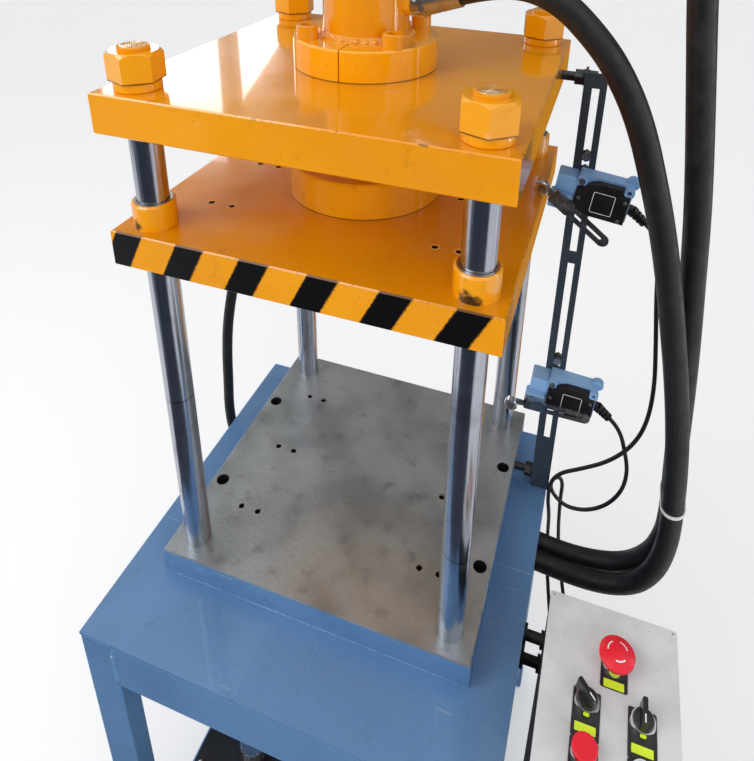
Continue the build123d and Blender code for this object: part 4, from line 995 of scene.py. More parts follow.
def add_ring(mesh: Mesh, outer: Outline, inner: Outline, at: Matrix, thick: float) -> None:
    """Adds a flat frame between two outlines of as many points.

    Args:
        mesh: the geometry that it joins.
        outer: the outer outline.
        inner: the inner outline.
        at: the face's frame.
        thick: its thickness.
    """
    steps = ((outer, 0.0), (outer, thick), (inner, thick), (inner, 0.0))
    loops = [lay_outline(mesh, outline, at, height) for outline, height in steps]
    for first, second in zip(loops, loops[1:] + loops[:1]):
        join_loops(mesh, first, second)


def add_round_ring(mesh: Mesh, radii: Span, steps: int, at: Matrix, thick: float) -> None:
    """Adds a flat round ring, from its outer and inner radius."""
    add_ring(mesh, *(rounded_outline(2 * r, 2 * r, r, steps) for r in radii), at, thick)


def add_turned(mesh: Mesh, profile: Outline, at: Matrix, sides: int) -> None:
    """Adds a turned form. A profile point on the axis closes it there.

    Args:
        mesh: the geometry that it joins.
        profile: radius and height of each step.
        at: the frame whose Z is the axis.
        sides: how many sides the round has.
    """
    rings = []
    for radius, height in profile:
        turns = [2 * math.pi * side / sides for side in range(sides if radius else 1)]
        round_points = [(radius * math.cos(turn), radius * math.sin(turn)) for turn in turns]
        rings.append(lay_outline(mesh, round_points, at, height))
    for low, high in zip(rings, rings[1:]):
        join_loops(mesh, low, high)


@dataclass(frozen=True)
class PanHead:
    """A small domed screw head with a cross recess, its form given as shares of its size."""

    radius: float = 0.0026
    height: float = 0.0014
    dome: tuple[Span, ...] = (
        (1.0, 0.0), (1.0, 0.35), (0.86, 0.75), (0.5, 0.96), (0.34, 1.0), (0.26, 0.45), (0.0, 0.4),
    )
    sides: int = 20
    arm: Point = (1.1, 0.2, 0.08)
    arm_floor: float = 0.55
    arm_height: float = 0.5

    def add(self, mesh: Mesh, at: Matrix) -> None:
        """Adds the head.

        Args:
            mesh: the geometry that it joins.
            at: the frame of the face that it sits on.
        """
        profile = [(far * self.radius, up * self.height) for far, up in self.dome]
        add_turned(mesh, profile, at, self.sides)
        outline = rounded_outline(*(share * self.radius for share in self.arm), 2)
        floor = Matrix.Translation((0.0, 0.0, self.arm_floor * self.height))
        for turn in (0.0, math.pi / 2):
            place = at @ Matrix.Rotation(turn, 4, "Z") @ floor
            add_slab(mesh, outline, place, self.arm_height * self.height)

    def build_round(self, node: str, inset: float, in_row: int, name: str) -> None:
        """Builds a row of heads round the rim of a packed plate's top.

        Args:
            node: the plate.
            inset: how far the heads' middles lie from its edges.
            in_row: how many heads each edge has, with those in its corners.
            name: the new piece's name.
        """
        mesh = bmesh.new()
        low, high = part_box(node)
        last = in_row - 1
        for column in range(in_row):
            for row in range(in_row):
                if 0 < column < last and 0 < row < last:
                    continue
                x = low.x + inset + (high.x - low.x - 2 * inset) * column / last
                y = low.y + inset + (high.y - low.y - 2 * inset) * row / last
                self.add(mesh, level_at(x, y, high.z))
        piece_from(mesh, name, ZINC, smooth=True)


@dataclass(frozen=True)
class WeldBead:
    """A rippled fillet of weld metal laid along straight runs."""

    radius: float
    ripple: float = 0.0030
    seed: int = 3
    sides: int = 9
    steps: int = 4
    fewest: int = 6
    swells: Span = (0.72, 1.12)
    wave: Span = (0.9, 0.14)
    jitter: Span = (0.93, 1.07)
    taper: float = 6.0
    blunt: float = 0.05

    def add(self, mesh: Mesh, start: Point, end: Point) -> None:
        """Adds the bead.

        Args:
            mesh: the geometry that it joins.
            start: where it starts.
            end: where it ends.
        """
        chance = random.Random(self.seed)
        line = Vector(end) - Vector(start)
        along = line.normalized()
        across = along.orthogonal().normalized()
        turns = [2 * math.pi * side / self.sides for side in range(self.sides)]
        spokes = [Matrix.Rotation(turn, 3, along) @ across for turn in turns]
        count = max(self.fewest, int(line.length / (self.ripple / self.steps)))
        middle, depth = self.wave
        rings = []
        for step in range(count + 1):
            share = step / count
            if step % self.steps == 0:
                swell = chance.uniform(*self.swells)
            tip = min(1.0, self.taper * share, self.taper * (1 - share)) ** 0.5 + self.blunt
            wave = middle + depth * math.cos(2 * math.pi * share * line.length / self.ripple)
            size = self.radius * tip * swell * wave
            place = Vector(start) + line * share
            spots = [place + spoke * size * chance.uniform(*self.jitter) for spoke in spokes]
            rings.append([mesh.verts.new(spot) for spot in spots])
        add_bar(mesh, rings)


@dataclass(frozen=True)
class LumpWeld:
    """A rough weld of overlapping lumps round the barrel's foot."""

    radius: float = 0.0522
    lumps: int = 58
    seed: int = 11
    sides: int = 9
    turns: Span = (-0.3, 0.3)
    reaches: Span = (-0.0012, 0.0016)
    widths: Span = (0.0028, 0.0046)
    lifts: Span = (0.0, 0.002)
    leans: Span = (0.2, 0.8)
    root: float = -0.002
    skirt: float = -0.001
    dome: tuple[Span, ...] = ((0.92, 0.4), (0.6, 0.75), (0.0, 0.9))

    def add(self, mesh: Mesh, level: float) -> None:
        """Adds the weld.

        Args:
            mesh: the geometry that it joins.
            level: the face that it is laid on.
        """
        chance = random.Random(self.seed)
        for lump in range(self.lumps):
            turn = 2 * math.pi * (lump + chance.uniform(*self.turns)) / self.lumps
            reach = self.radius + chance.uniform(*self.reaches)
            wide = chance.uniform(*self.widths)
            spot = (reach * math.cos(turn), reach * math.sin(turn), level + chance.uniform(*self.lifts))
            lean = Matrix.Rotation(chance.uniform(*self.leans), 4, "Y")
            at = Matrix.Translation(spot) @ Matrix.Rotation(turn, 4, "Z") @ lean
            dome = [(far * wide, up * wide) for far, up in self.dome]
            add_turned(mesh, [(0.0, self.root), (wide, self.skirt), *dome], at, self.sides)


def standing(first: Span, last: Span, low: float, high: float) -> tuple[Point, ...]:
    """The corners of an upright board between two places on the floor plan."""
    return ((*first, low), (*last, low), (*last, high), (*first, high))


def flat_object(name: str, corners: tuple[Point, ...], recipe: Recipe) -> bpy.types.Object:
    """Builds a one-sided board.

    Args:
        name: its name.
        corners: its corners, in order.
        recipe: its material.

    Returns:
        The board.
    """
    mesh = bmesh.new()
    mesh.faces.new([mesh.verts.new(corner) for corner in corners])
    return mesh_object(mesh, name, recipe.material)


@dataclass(frozen=True)
class Board:
    """A glowing board that only gloss sees."""

    name: str
    glow: Colour
    corners: tuple[Point, ...]

    def build(self) -> None:
        """Builds the board as a stage piece."""
        recipe = Recipe(self.name)
        recipe.set(Base_Color=BLACK, Specular_IOR_Level=0.0)
        recipe.set(Emission_Color=self.glow, Emission_Strength=1.0)
        board = flat_object(self.name, self.corners, recipe)
        board.visible_camera = False
        board.visible_diffuse = False
        board.visible_shadow = False
        board.visible_transmission = False


WINDOW: Colour = (4.2, 4.2, 4.2)
STRIP_LIGHT: Colour = (6.0, 6.0, 6.0)
DARK_WALL: Colour = (0.040, 0.048, 0.066)
DARK_GROUND: Colour = (0.055, 0.062, 0.080)
DIM_WALL: Colour = (0.19, 0.175, 0.16)
SHADY_WALL: Colour = (0.13, 0.145, 0.18)
WARM: Colour = (0.52, 0.22, 0.02)
BOARDS = (
    Board("window_left", WINDOW, standing((-2.70, 2.4), (-1.84, 2.4), 1.0, 1.86)),
    Board(
        "window_right",
        WINDOW,
        ((-1.70, 2.4, 1.0), (-1.36, 2.4, 1.0), (-1.42, 2.4, 1.36), (-1.70, 2.4, 1.76)),
    ),
    Board("back_wall", DIM_WALL, standing((-1.70, 2.41), (3.4, 2.41), -0.68, 4.6)),
    Board("back_wall_left", DIM_WALL, standing((-4.4, 2.42), (-1.70, 2.42), -0.1, 4.6)),
    Board("front_wall", DARK_WALL, standing((-0.75, -1.15), (1.5, -1.15), -0.68, 1.5)),
    Board("front_wall_left", SHADY_WALL, standing((-1.8, -1.15), (-0.75, -1.15), -0.68, 1.5)),
    Board(
        "front_ground",
        DARK_GROUND,
        ((-1.2, -1.15, -0.68), (0.9, -1.15, -0.68), (0.62, -0.30, -0.68), (-0.62, -0.30, -0.68)),
    ),
    Board(
        "back_ground",
        WARM,
        ((0.24, 0.70, -0.68), (0.95, 0.70, -0.68), (1.10, 2.40, -0.68), (0.24, 2.40, -0.68)),
    ),
    Board("back_low", WARM, standing((0.28, 2.39), (0.85, 2.39), -0.68, 0.30)),
    Board("left_wall", SHADY_WALL, standing((-2.4, -2.6), (-2.4, -0.7), -0.4, 2.4)),
    Board("right_strip", STRIP_LIGHT, standing((2.66, 0.50), (2.66, 0.70), -0.6, 2.4)),
    Board("right_strip_thin", STRIP_LIGHT, standing((2.66, 0.88), (2.66, 0.95), -0.6, 2.4)),
    Board("right_wall", SHADY_WALL, standing((2.7, 0.3), (2.7, 2.4), -0.4, 2.4)),
)


@dataclass(frozen=True)
class Lamp:
    """A square area lamp that looks at the press."""

    name: str
    place: Point
    size: float
    power: float
    aim: Point = (0.0, 0.0, 0.2)

    def build(self) -> None:
        """Builds the lamp."""
        data = bpy.data.lights.new(self.name, "AREA")
        data.size, data.energy = self.size, self.power
        lamp = put(self.name, data)
        lamp.location = self.place
        lamp.rotation_euler = (Vector(self.aim) - Vector(self.place)).to_track_quat("-Z", "Y").to_euler()


@dataclass
class Studio:
    """Floor, white surroundings, lamps, boards that only gloss sees, and the camera."""

    floor_half: float = 12.0
    floor_gap: float = 0.0005
    floor_colour: Colour = (0.90, 0.90, 0.90)
    floor_rough: float = 0.9
    floor_glow: float = 0.22
    sky: Colour = (0.97, 0.98, 1.0)
    sky_light: float = 0.68
    lens: float = 31.697
    sensor: float = 36.0
    clip: float = 0.02
    shift: Span = (-0.03055, -0.3335)
    eye: Point = (0.278283, -0.708520, 0.899344)
    right: Point = (0.94646, 0.32207, 0.02195)
    up: Point = (-0.14177, 0.35359, 0.92459)
    back: Point = (0.29002, -0.87821, 0.38032)
    lamps: tuple[Lamp, ...] = (
        Lamp("key_lamp", (-1.5, -1.6, 2.2), 1.7, 30.0),
        Lamp("fill_lamp", (1.6, -2.1, 1.2), 1.6, 13.0),
    )

    def build(self) -> None:
        """Builds all of it."""
        self.build_camera()
        self.build_world()
        self.build_floor()
        for part in (*self.lamps, *BOARDS):
            part.build()
            LOG.info("%s: set up round the press", part.name)
        bpy.context.scene.view_settings.view_transform = "Standard"

    def build_camera(self) -> None:
        """Sets the camera where the photograph was taken from."""
        data = bpy.data.cameras.new("camera")
        data.sensor_fit = "HORIZONTAL"
        data.sensor_width = self.sensor
        data.lens = self.lens
        data.shift_x, data.shift_y = self.shift
        data.clip_start = self.clip
        camera = put("camera", data)
        turned = Matrix((self.right, self.up, self.back)).transposed().to_4x4()
        camera.matrix_world = Matrix.Translation(self.eye) @ turned
        bpy.context.scene.camera = camera

    def build_world(self) -> None:
        """White where the camera, gloss and glass look, and softer as light."""
        world = bpy.data.worlds.new("surroundings")
        bpy.context.scene.world = world
        world.use_nodes = True
        nodes, links = world.node_tree.nodes, world.node_tree.links
        seen = nodes["Background"]
        seen.inputs["Color"].default_value = (*PURE_WHITE, 1.0)
        lit = nodes.new("ShaderNodeBackground")
        lit.inputs["Color"].default_value = (*self.sky, 1.0)
        lit.inputs["Strength"].default_value = self.sky_light
        path = nodes.new("ShaderNodeLightPath")
        total = path.outputs["Is Camera Ray"]
        for name in ("Is Glossy Ray", "Is Transmission Ray"):
            either = nodes.new("ShaderNodeMath")
            either.operation = "MAXIMUM"
            links.new(total, either.inputs[0])
            links.new(path.outputs[name], either.inputs[1])
            total = either.outputs[0]
        mix = nodes.new("ShaderNodeMixShader")
        links.new(total, mix.inputs[0])
        links.new(lit.outputs[0], mix.inputs[1])
        links.new(seen.outputs[0], mix.inputs[2])
        links.new(mix.outputs[0], nodes["World Output"].inputs["Surface"])

    def build_floor(self) -> None:
        """A pale floor that the camera sees as white outside the press's shadow."""
        recipe = Recipe("floor_paint")
        path = recipe.nodes.new("ShaderNodeLightPath")
        glow = recipe.times(path.outputs["Is Camera Ray"], self.floor_glow)
        recipe.set(Base_Color=self.floor_colour, Roughness=self.floor_rough)
        recipe.set(Emission_Color=PURE_WHITE, Emission_Strength=glow)
        half, level = self.floor_half, CAD_BOX[0].z - self.floor_gap
        corners = ((-half, -half), (half, -half), (half, half), (-half, half))
        floor = flat_object("floor", tuple((x, y, level) for x, y in corners), recipe)


@dataclass(frozen=True)
class Cord:
    """A hose or cable on its route, one smooth spline from end to end."""

    node: str
    diameter: float
    length: float
    stiffness: str
    finish: Finish
    slot: str
    route: tuple[Point, ...]
    round_steps: int = 7
    steps: int = 10
    order: int = 3

    def build(self) -> None:
        data = bpy.data.curves.new(f"{self.node}_line", "CURVE")
        data.dimensions = "3D"
        data.bevel_depth = self.diameter / 2
        data.bevel_resolution = self.round_steps
        data.resolution_u = self.steps
        data.use_fill_caps = True
        spline = data.splines.new("NURBS")
        spline.points.add(len(self.route) - 1)
        for point, place in zip(spline.points, self.route):
            point.co = (*place, 1.0)
        spline.order_u = self.order
        spline.use_endpoint_u = True
        data.materials.append(material_of(self.finish))
        cord = put(f"{self.node}_line", data)
        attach(cord, FRAME_BODY)
        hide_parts(self.node)
        LOG.info("%s: %.3f m long, in place of the packed one", cord.name, self.length)


LOWER_HOSE = (
    (0.1095, 0.0, 0.7641), (0.1570, 0.0, 0.7795), (0.214, 0.0, 0.768), (0.264, 0.001, 0.722),
    (0.293, 0.002, 0.682), (0.317, 0.003, 0.635), (0.339, 0.005, 0.573), (0.359, 0.008, 0.510),
    (0.3775, 0.014, 0.440), (0.393, 0.018, 0.372), (0.410, 0.024, 0.296), (0.426, 0.030, 0.212),
    (0.437, 0.035, 0.138), (0.445, 0.040, 0.064), (0.4505, 0.045, -0.012), (0.444, 0.051, -0.077),
    (0.425, 0.057, -0.124), (0.393, 0.061, -0.151), (0.345, 0.065, -0.164), (0.285, 0.067, -0.161),
    (0.225, 0.063, -0.149), (0.170, 0.057, -0.136), (0.122, 0.051, -0.138), (0.084, 0.047, -0.152),
    (0.060, 0.045, -0.186), (0.060, 0.045, -0.224),
)
UPPER_HOSE = (
    (0.1095, 0.0, 1.0961), (0.1570, 0.0, 1.1115), (0.222, 0.007, 1.131), (0.280, 0.011, 1.092),
    (0.318, 0.014, 1.038), (0.335, 0.017, 0.970), (0.341, 0.020, 0.895), (0.346, 0.023, 0.832),
    (0.355, 0.025, 0.768), (0.3665, 0.028, 0.700), (0.378, 0.030, 0.631), (0.3885, 0.033, 0.566),
    (0.397, 0.036, 0.506), (0.4065, 0.043, 0.429), (0.4155, 0.049, 0.358), (0.425, 0.056, 0.276),
    (0.4335, 0.063, 0.186), (0.441, 0.069, 0.104), (0.4485, 0.074, 0.036), (0.451, 0.079, -0.034),
    (0.438, 0.085, -0.092), (0.407, 0.092, -0.136), (0.362, 0.097, -0.158), (0.310, 0.100, -0.165),
    (0.255, 0.101, -0.157), (0.200, 0.098, -0.145), (0.150, 0.095, -0.136), (0.112, 0.092, -0.140),
    (0.080, 0.091, -0.158), (0.060, 0.090, -0.190), (0.060, 0.090, -0.224),
)
REAR_HOSE = (
    (-0.125, 0.062, -0.274), (-0.125, 0.062, -0.236), (-0.142, 0.068, -0.202), (-0.186, 0.078, -0.178),
    (-0.236, 0.088, -0.176), (-0.280, 0.095, -0.160), (-0.309, 0.099, -0.120), (-0.314, 0.100, -0.066),
    (-0.310, 0.100, -0.004), (-0.307, 0.100, 0.062), (-0.301, 0.102, 0.130), (-0.291, 0.108, 0.194),
    (-0.286, 0.128, 0.252), (-0.278, 0.168, 0.306), (-0.256, 0.218, 0.352), (-0.216, 0.258, 0.404),
    (-0.160, 0.276, 0.472), (-0.104, 0.278, 0.552), (-0.062, 0.270, 0.640), (-0.036, 0.262, 0.736),
    (-0.020, 0.254, 0.836), (-0.010, 0.236, 0.930), (-0.004, 0.206, 1.010), (-0.001, 0.164, 1.062),
    (0.0, 0.140, 1.080), (0.0, 0.112, 1.080),
)
UPPER_CABLE = (
    (0.3465, 0.086, 0.4751), (0.3634, 0.086, 0.4610), (0.370, 0.085, 0.416), (0.376, 0.084, 0.366),
    (0.386, 0.084, 0.300), (0.396, 0.084, 0.226), (0.396, 0.084, 0.160), (0.382, 0.083, 0.112),
    (0.354, 0.083, 0.072), (0.318, 0.083, 0.044), (0.290, 0.084, 0.024), (0.277, 0.085, -0.004),
    (0.278, 0.088, -0.044), (0.282, 0.102, -0.084), (0.284, 0.122, -0.126), (0.286, 0.130, -0.172),
    (0.290, 0.112, -0.206), (0.300, 0.070, -0.226), (0.312, 0.014, -0.234), (0.321, -0.036, -0.232),
    (0.325, -0.062, -0.230), (0.325, -0.088, -0.230),
)
LOWER_CABLE = (
    (0.3467, 0.086, 0.1514), (0.3620, 0.086, 0.1385), (0.377, 0.090, 0.090), (0.385, 0.091, 0.054),
    (0.383, 0.092, 0.014), (0.366, 0.092, -0.024), (0.338, 0.092, -0.048), (0.308, 0.093, -0.054),
    (0.288, 0.094, -0.040), (0.2785, 0.0945, -0.023), (0.281, 0.096, -0.005), (0.291, 0.100, -0.002),
    (0.297, 0.106, -0.022), (0.297, 0.116, -0.060), (0.299, 0.128, -0.110), (0.302, 0.136, -0.160),
    (0.308, 0.126, -0.204), (0.322, 0.086, -0.230), (0.336, 0.030, -0.236), (0.346, -0.024, -0.233),
    (0.350, -0.060, -0.230), (0.350, -0.088, -0.230),
)


@dataclass
class Lines:
    """Hoses, cables, their fittings and the tie round the two large hoses."""

    hose_d: float = 0.030
    small_hose_d: float = 0.018
    cable_d: float = 0.006

    def build(self) -> None:
        """Builds the five cords."""
        rows = (
            ("lower_hose", self.hose_d, 1.490, "stiff", HOSE, "hose_rubber", LOWER_HOSE),
            ("upper_hose", self.hose_d, 1.854, "stiff", HOSE, "hose_rubber", UPPER_HOSE),
            ("rear_hose", self.small_hose_d, 1.652, "stiff", HOSE, "hose_rubber", REAR_HOSE),
            ("upper_cable", self.cable_d, 0.952, "medium", CABLE, "cable_rubber", UPPER_CABLE),
            ("lower_cable", self.cable_d, 0.755, "limp", CABLE, "cable_rubber", LOWER_CABLE),
        )
        for row in rows:
            Cord(*row).build()

    def dress(self) -> None:
        """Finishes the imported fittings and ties."""
        dress(ZINC, "hose_fittings")
        dress(NYLON, "cable_ties")


@dataclass
class Table:
    """Blue steel table, with its welds."""

    bead: WeldBead = WeldBead(0.0036)
    seam: WeldBead = WeldBead(0.0011, ripple=0.006, seed=8)
    tube: float = 0.050
    foot_overhang: float = 0.006
    upright_sunk: float = 0.0012
    cross_sunk: float = 0.0014
    cross_rise: float = 0.0012
    above_apron_foot: float = 0.004
    seam_short: float = 0.01
    apron_seam: float = 0.0004

    def build(self) -> None:
        """Lays the weld beads where the aprons meet the legs and the bolster meets the sheet."""
        mesh = bmesh.new()
        sheet_low, sheet_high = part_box("table_top")
        apron_low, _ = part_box("apron_rails")
        bed_low, bed_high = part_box("bolster")
        # A leg's box is that of its foot plate, so the sheet's edge gives the tube's outer face.
        inner_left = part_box("leg_front_left")[0].x + self.foot_overhang + self.tube
        inner_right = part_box("leg_front_right")[1].x - self.foot_overhang - self.tube
        for inner, outer in ((inner_left, sheet_low.x), (inner_right, sheet_high.x)):
            y = sheet_low.y + self.upright_sunk
            self.bead.add(mesh, (inner, y, sheet_low.z), (inner, y, apron_low.z + self.above_apron_foot))
            y = sheet_low.y + self.cross_sunk
            self.bead.add(mesh, (outer, y, sheet_low.z + self.cross_rise), (inner, y, sheet_low.z))
        corner = (bed_low.x, bed_low.y, sheet_high.z)
        self.seam.add(mesh, corner, (bed_high.x, bed_low.y, sheet_high.z))
        self.seam.add(mesh, corner, (bed_low.x, bed_high.y - self.seam_short, sheet_high.z))
        piece_from(mesh, "table_welds", WELD_BLUE, smooth=True)

    def dress(self) -> None:
        """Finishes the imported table."""
        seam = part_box("table_top")[0].z - self.apron_seam
        dress(BLUE, "leg_front_left", "leg_front_right", "leg_back_left", "leg_back_right")
        dress(BLUE, "lower_rails", "table_top")
        dress(replace(BLUE, name="apron_blue", seams=(seam,)), "apron_rails")


@dataclass(frozen=True)
class TappedHoles:
    """The die holes that the bolster and the platen share."""

    columns: tuple[float, ...] = (-0.152, -0.125, 0.125, 0.152)
    rows: tuple[float, ...] = (-0.115, 0.0, 0.115)
    radius: float = 0.00425
    rim: float = 0.0010
    rim_thick: float = 0.00015
    steps: int = 6

    def add_rims(self, mesh: Mesh, level: float) -> None:
        """Adds a thin rim round each hole.

        Args:
            mesh: the geometry that it joins.
            level: the plate's top face.
        """
        radii = (self.radius + self.rim, self.radius)
        for x in self.columns:
            for y in self.rows:
                add_round_ring(mesh, radii, self.steps, level_at(x, y, level), self.rim_thick)


@dataclass
class PressFrame:
    """Bolster, guide columns, upper plate, nuts and the cylinder."""

    holes: TappedHoles = TappedHoles(rim=0.0012)
    weld: LumpWeld = LumpWeld()
    left_mark: Span = (0.262, 0.0)
    right_mark: Span = (0.148, -0.28)

    def build(self) -> None:
        """Rims the bolster's holes and lays the rough weld round the barrel's foot."""
        rims = bmesh.new()
        self.holes.add_rims(rims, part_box("bolster")[1].z)
        piece_from(rims, "bolster_hole_rims", BURR)
        mesh = bmesh.new()
        self.weld.add(mesh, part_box("cylinder_flange")[1].z)
        piece_from(mesh, "barrel_weld", YELLOW, smooth=True)

    def dress(self) -> None:
        """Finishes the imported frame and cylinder."""
        dress(PlateFinish(BLUE, "bolster", Zone.TOP_AND_HOLES), "bolster")
        dress(PlateFinish(YELLOW, "upper_plate", Zone.HOLES), "upper_plate")
        dress(LIT_FASTENER_YELLOW, "column_nuts", "column_washers")
        dress(LIT_FLANGE_YELLOW, "cylinder_flange")
        dress(YELLOW, "cylinder_barrel", "cylinder_cap", "flange_screws")
        plate_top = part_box("upper_plate")[1].z
        marks = {"column_front_left": self.left_mark, "column_front_right": self.right_mark}
        for node in COLUMNS:
            dress(ColumnFinish(node, CHROME, YELLOW, plate_top, *marks.get(node, ())), node)
        dress(DARK_STEEL, "bolster_screws")
        dress(ZINC, "rod_gland")


@dataclass
class Crosshead:
    """The moving platen with its bushes, ram and hazard stripes."""

    stripes: HazardStripes = HazardStripes()
    holes: TappedHoles = TappedHoles()
    seal_radii: Span = (0.0208, 0.0181)
    seal_thick: float = 0.0007
    seal_steps: int = 12
    # How much painted shade and reflection darkens the platen's top.
    top_shade_share: float = 0.32

    def build(self) -> None:
        """Presses a thin seal into each bush and leaves a bright rim round each tapped hole."""
        seals = bmesh.new()
        bush_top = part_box("guide_bushes")[1].z
        for node in COLUMNS:
            low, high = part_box(node)
            at = level_at((low.x + high.x) / 2, (low.y + high.y) / 2, bush_top)
            add_round_ring(seals, self.seal_radii, self.seal_steps, at, self.seal_thick)
        piece_from(seals, "bush_seals", ZINC, CROSSHEAD_BODY)
        rims = bmesh.new()
        self.holes.add_rims(rims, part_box("platen")[1].z)
        piece_from(rims, "platen_hole_rims", RIM, CROSSHEAD_BODY)

    def dress(self) -> None:
        """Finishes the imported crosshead."""
        platen = PlateFinish(PLATEN_YELLOW, "platen", Zone.HOLES, self.stripes, top_shade_share=self.top_shade_share)
        dress(platen, "platen")
        dress(COLLAR_YELLOW, "guide_bushes")
        dress(RAM_YELLOW, "ram_flange")
        dress(DARK_STEEL, "ram_screws")
        dress(CHROME, "ram_rod")


@dataclass
class LimitSwitch:
    """One roller-lever switch: its label's outline and its cover screws."""

    name: str
    tilt_deg: float
    pivot_z: float
    pivot_x: float = 0.24673
    cover_y: float = 0.068
    label_middle: Span = (0.0425, 0.0095)
    label_size: Span = (0.027, 0.029)
    label_corner: float = 0.0022
    label_line: float = 0.0008
    label_thick: float = 0.0002
    screws: tuple[Span, ...] = ((0.0125, 0.010), (0.0675, 0.0195), (0.0655, -0.0078), (0.013, -0.008))

    def at(self, along: float, up: float) -> Matrix:
        """The frame of a spot on the switch's cover.

        Args:
            along: distance from the shaft along the switch.
            up: distance above the shaft, across the switch.

        Returns:
            The frame, facing the operator.
        """
        turn = math.radians(self.tilt_deg)
        x = self.pivot_x + along * math.cos(turn) - up * math.sin(turn)
        z = self.pivot_z + along * math.sin(turn) + up * math.cos(turn)
        return facing((x, self.cover_y, z), (math.cos(turn), 0.0, math.sin(turn)), TO_FRONT)

    def build(self) -> None:
        """Builds the blank label's outline and the cover's screws."""
        label = bmesh.new()
        width, height = self.label_size
        line = self.label_line
        outer = rounded_outline(width, height, self.label_corner)
        inner = rounded_outline(width - 2 * line, height - 2 * line, self.label_corner - line)
        add_ring(label, outer, inner, self.at(*self.label_middle), self.label_thick)
        piece_from(label, f"{self.name}_label_outline", WHITE)
        heads = bmesh.new()
        for along, up in self.screws:
            PanHead().add(heads, self.at(along, up))
        piece_from(heads, f"{self.name}_cover_screws", ZINC, smooth=True)


@dataclass
class SwitchGear:
    """The slotted rail with its two limit switches."""

    upper: LimitSwitch
    lower: LimitSwitch

    def build(self) -> None:
        """Builds both switches' small parts."""
        self.upper.build()
        self.lower.build()

    def dress(self) -> None:
        """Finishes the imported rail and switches."""
        dress(RAIL_BLUE, "switch_rail")
        dress(SWITCH_PAINT, "upper_switch_body", "lower_switch_body")
        dress(COVER, "switch_covers")
        dress(CABLE, "cable_glands")
        dress(ZINC, "switch_screws")
        dress(DARK_STEEL, "rail_studs")
        dress(LEVER, "upper_lever", "lower_lever")
        dress(BEZEL, "upper_roller", "lower_roller")


class Device(Enum):
    """The panel's devices, each with its node and its place on the panel."""

    STOP = ("estop_head", 0.379, -0.171)
    LEFT_SELECTOR = ("left_selector", 0.351, -0.2195)
    RIGHT_SELECTOR = ("right_selector", 0.410, -0.2195)
    RED_BUTTON = ("red_button", 0.351, -0.268)
    GREEN_BUTTON = ("green_button", 0.410, -0.268)


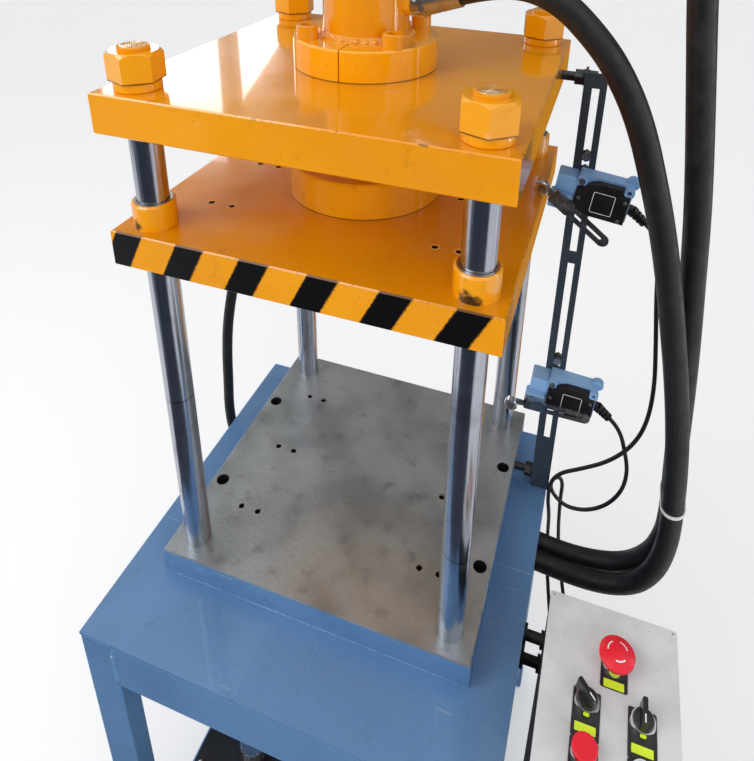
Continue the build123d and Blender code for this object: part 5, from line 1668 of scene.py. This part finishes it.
@dataclass
class ControlCabinet:
    """The cabinet beside the table, with its panel and devices."""

    legend_top: float = 0.033
    strip: Point = (0.0225, 0.0085, 0.0008)
    strip_thick: float = 0.00025
    strip_ahead: float = 0.0245
    stop_strip_ahead: float = 0.020
    dome_r: float = 0.03633
    arc_starts: tuple[int, ...] = (20, 125, 260)
    arc_sweep: int = 60
    arc_steps: int = 12
    arc_section: tuple[Span, ...] = (
        (0.0102, -0.0002), (0.0102, 0.00012), (0.0116, 0.00012), (0.0116, -0.0002),
    )
    dot: Point = (0.0064, 0.0048, 0.0018)
    dot_thick: float = 0.0006
    dot_ahead: float = 0.01345
    dot_rise: float = 0.0054
    dot_facing: Point = (0.0, -1.0, 0.14)
    bar: Point = (0.0085, 0.0014, 0.0006)
    bar_thick: float = 0.0003
    bar_inset: float = 0.0055
    screw: PanHead = PanHead(0.0014, 0.0006)
    screw_inset: float = 0.0045

    def build(self) -> None:
        """Builds the strips, arcs, dots, bars and screws."""
        self.build_strips()
        self.build_arcs()
        self.build_dots()
        self.build_bar(Device.LEFT_SELECTOR, 135, "left_knob")
        self.build_bar(Device.RIGHT_SELECTOR, 90, "right_knob")
        self.screw.build_round("panel_plate", self.screw_inset, 2, "panel_screws")

    def build_strips(self) -> None:
        """Lays a blank bright strip on each legend plate."""
        mesh = bmesh.new()
        for device in Device:
            _, x, y = device.value
            ahead = self.stop_strip_ahead if device is Device.STOP else self.strip_ahead
            spot = level_at(x, y - ahead, self.legend_top)
            add_slab(mesh, rounded_outline(*self.strip, 3), spot, self.strip_thick)
        piece_from(mesh, "legend_strips", STRIP)

    def build_arcs(self) -> None:
        """Lays three white arcs on the stop cap's dome, which show the way to turn it."""
        mesh = bmesh.new()
        node, x, y = Device.STOP.value
        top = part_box(node)[1].z
        for start in self.arc_starts:
            loops = []
            for step in range(self.arc_steps + 1):
                turn = math.radians(start + self.arc_sweep * step / self.arc_steps)
                at = Matrix.Translation((x, y, top)) @ Matrix.Rotation(turn, 4, "Z")
                loop = []
                for radius, lift in self.arc_section:
                    sag = self.dome_r - math.sqrt(self.dome_r**2 - radius**2)
                    loop.append(mesh.verts.new(at @ Vector((radius, 0.0, lift - sag))))
                loops.append(loop)
            add_bar(mesh, loops)
        piece_from(mesh, "stop_arcs", WHITE, "stop_mushroom")

    def build_dots(self) -> None:
        """Adds the dot on each selector's bezel."""
        mesh = bmesh.new()
        for device in (Device.LEFT_SELECTOR, Device.RIGHT_SELECTOR):
            _, x, y = device.value
            spot = (x, y - self.dot_ahead, self.legend_top + self.dot_rise)
            at = facing(spot, ACROSS, self.dot_facing)
            add_slab(mesh, rounded_outline(*self.dot, 4), at, self.dot_thick)
        piece_from(mesh, "selector_dots", STRIP)

    def build_bar(self, device: Device, turn_deg: float, body: str) -> None:
        """Lays the light bar on a selector's grip.

        Args:
            device: the selector.
            turn_deg: the way that its grip points, from +X.
            body: the body that it moves with.
        """
        mesh = bmesh.new()
        node, x, y = device.value
        turn = math.radians(turn_deg)
        along = Vector((math.cos(turn), math.sin(turn), 0.0))
        middle = Vector((x, y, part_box(node)[1].z)) - along * self.bar_inset
        add_slab(mesh, rounded_outline(*self.bar, 3), facing(middle, along, UPWARD), self.bar_thick)
        piece_from(mesh, f"{body}_bar", WHITE, body)

    def dress(self) -> None:
        """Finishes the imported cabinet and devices."""
        dress(BLACK_PAINT, "cabinet", "cabinet_arms")
        dress(PANEL_PAINT_AND_SHADE, "panel_plate")
        dress(LEGEND, "legend_plates")
        dress(BEZEL, "device_bezels")
        dress(KNOB, "left_selector", "right_selector", "estop_stem")
        dress(RED, "estop_head", "red_button")
        dress(GREEN, "green_button")


@dataclass
class PowerUnit:
    """Tank, lid, pump motor, valve block and filler under the table."""

    screw: PanHead = PanHead(0.0045, 0.0030)
    screw_inset: float = 0.010

    def build(self) -> None:
        """Screws the lid down round its rim."""
        self.screw.build_round("tank_lid", self.screw_inset, 3, "lid_screws")

    def dress(self) -> None:
        """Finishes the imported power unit."""
        dress(TANK_PAINT, "oil_tank", "tank_lid")
        dress(MOTOR_PAINT, "pump_motor")
        dress(ZINC, "valve_block")
        dress(BEZEL, "filler_cap")


def main() -> None:
    """Builds the studio and each sub-assembly in order, and reports each piece and what is left plain."""
    logging.basicConfig(level=logging.INFO, format="%(name)s: %(message)s")
    Studio().build()
    upper = LimitSwitch("upper_switch", -7.0, 0.49789)
    switches = SwitchGear(upper, LimitSwitch("lower_switch", -4.0, 0.170))
    for assembly in (Lines(), Table(), PressFrame(), Crosshead(), switches, ControlCabinet(), PowerUnit()):
        assembly.build()
        assembly.dress()
        LOG.info("%s built", type(assembly).__name__)
    shown = {name: piece for name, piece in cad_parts.items() if not piece.hide_render}
    plain = [name for name, piece in shown.items() if "dressed" not in piece]
    LOG.info("nodes without a finish: %s", plain or "none")


if __name__ == "__main__":
    main()
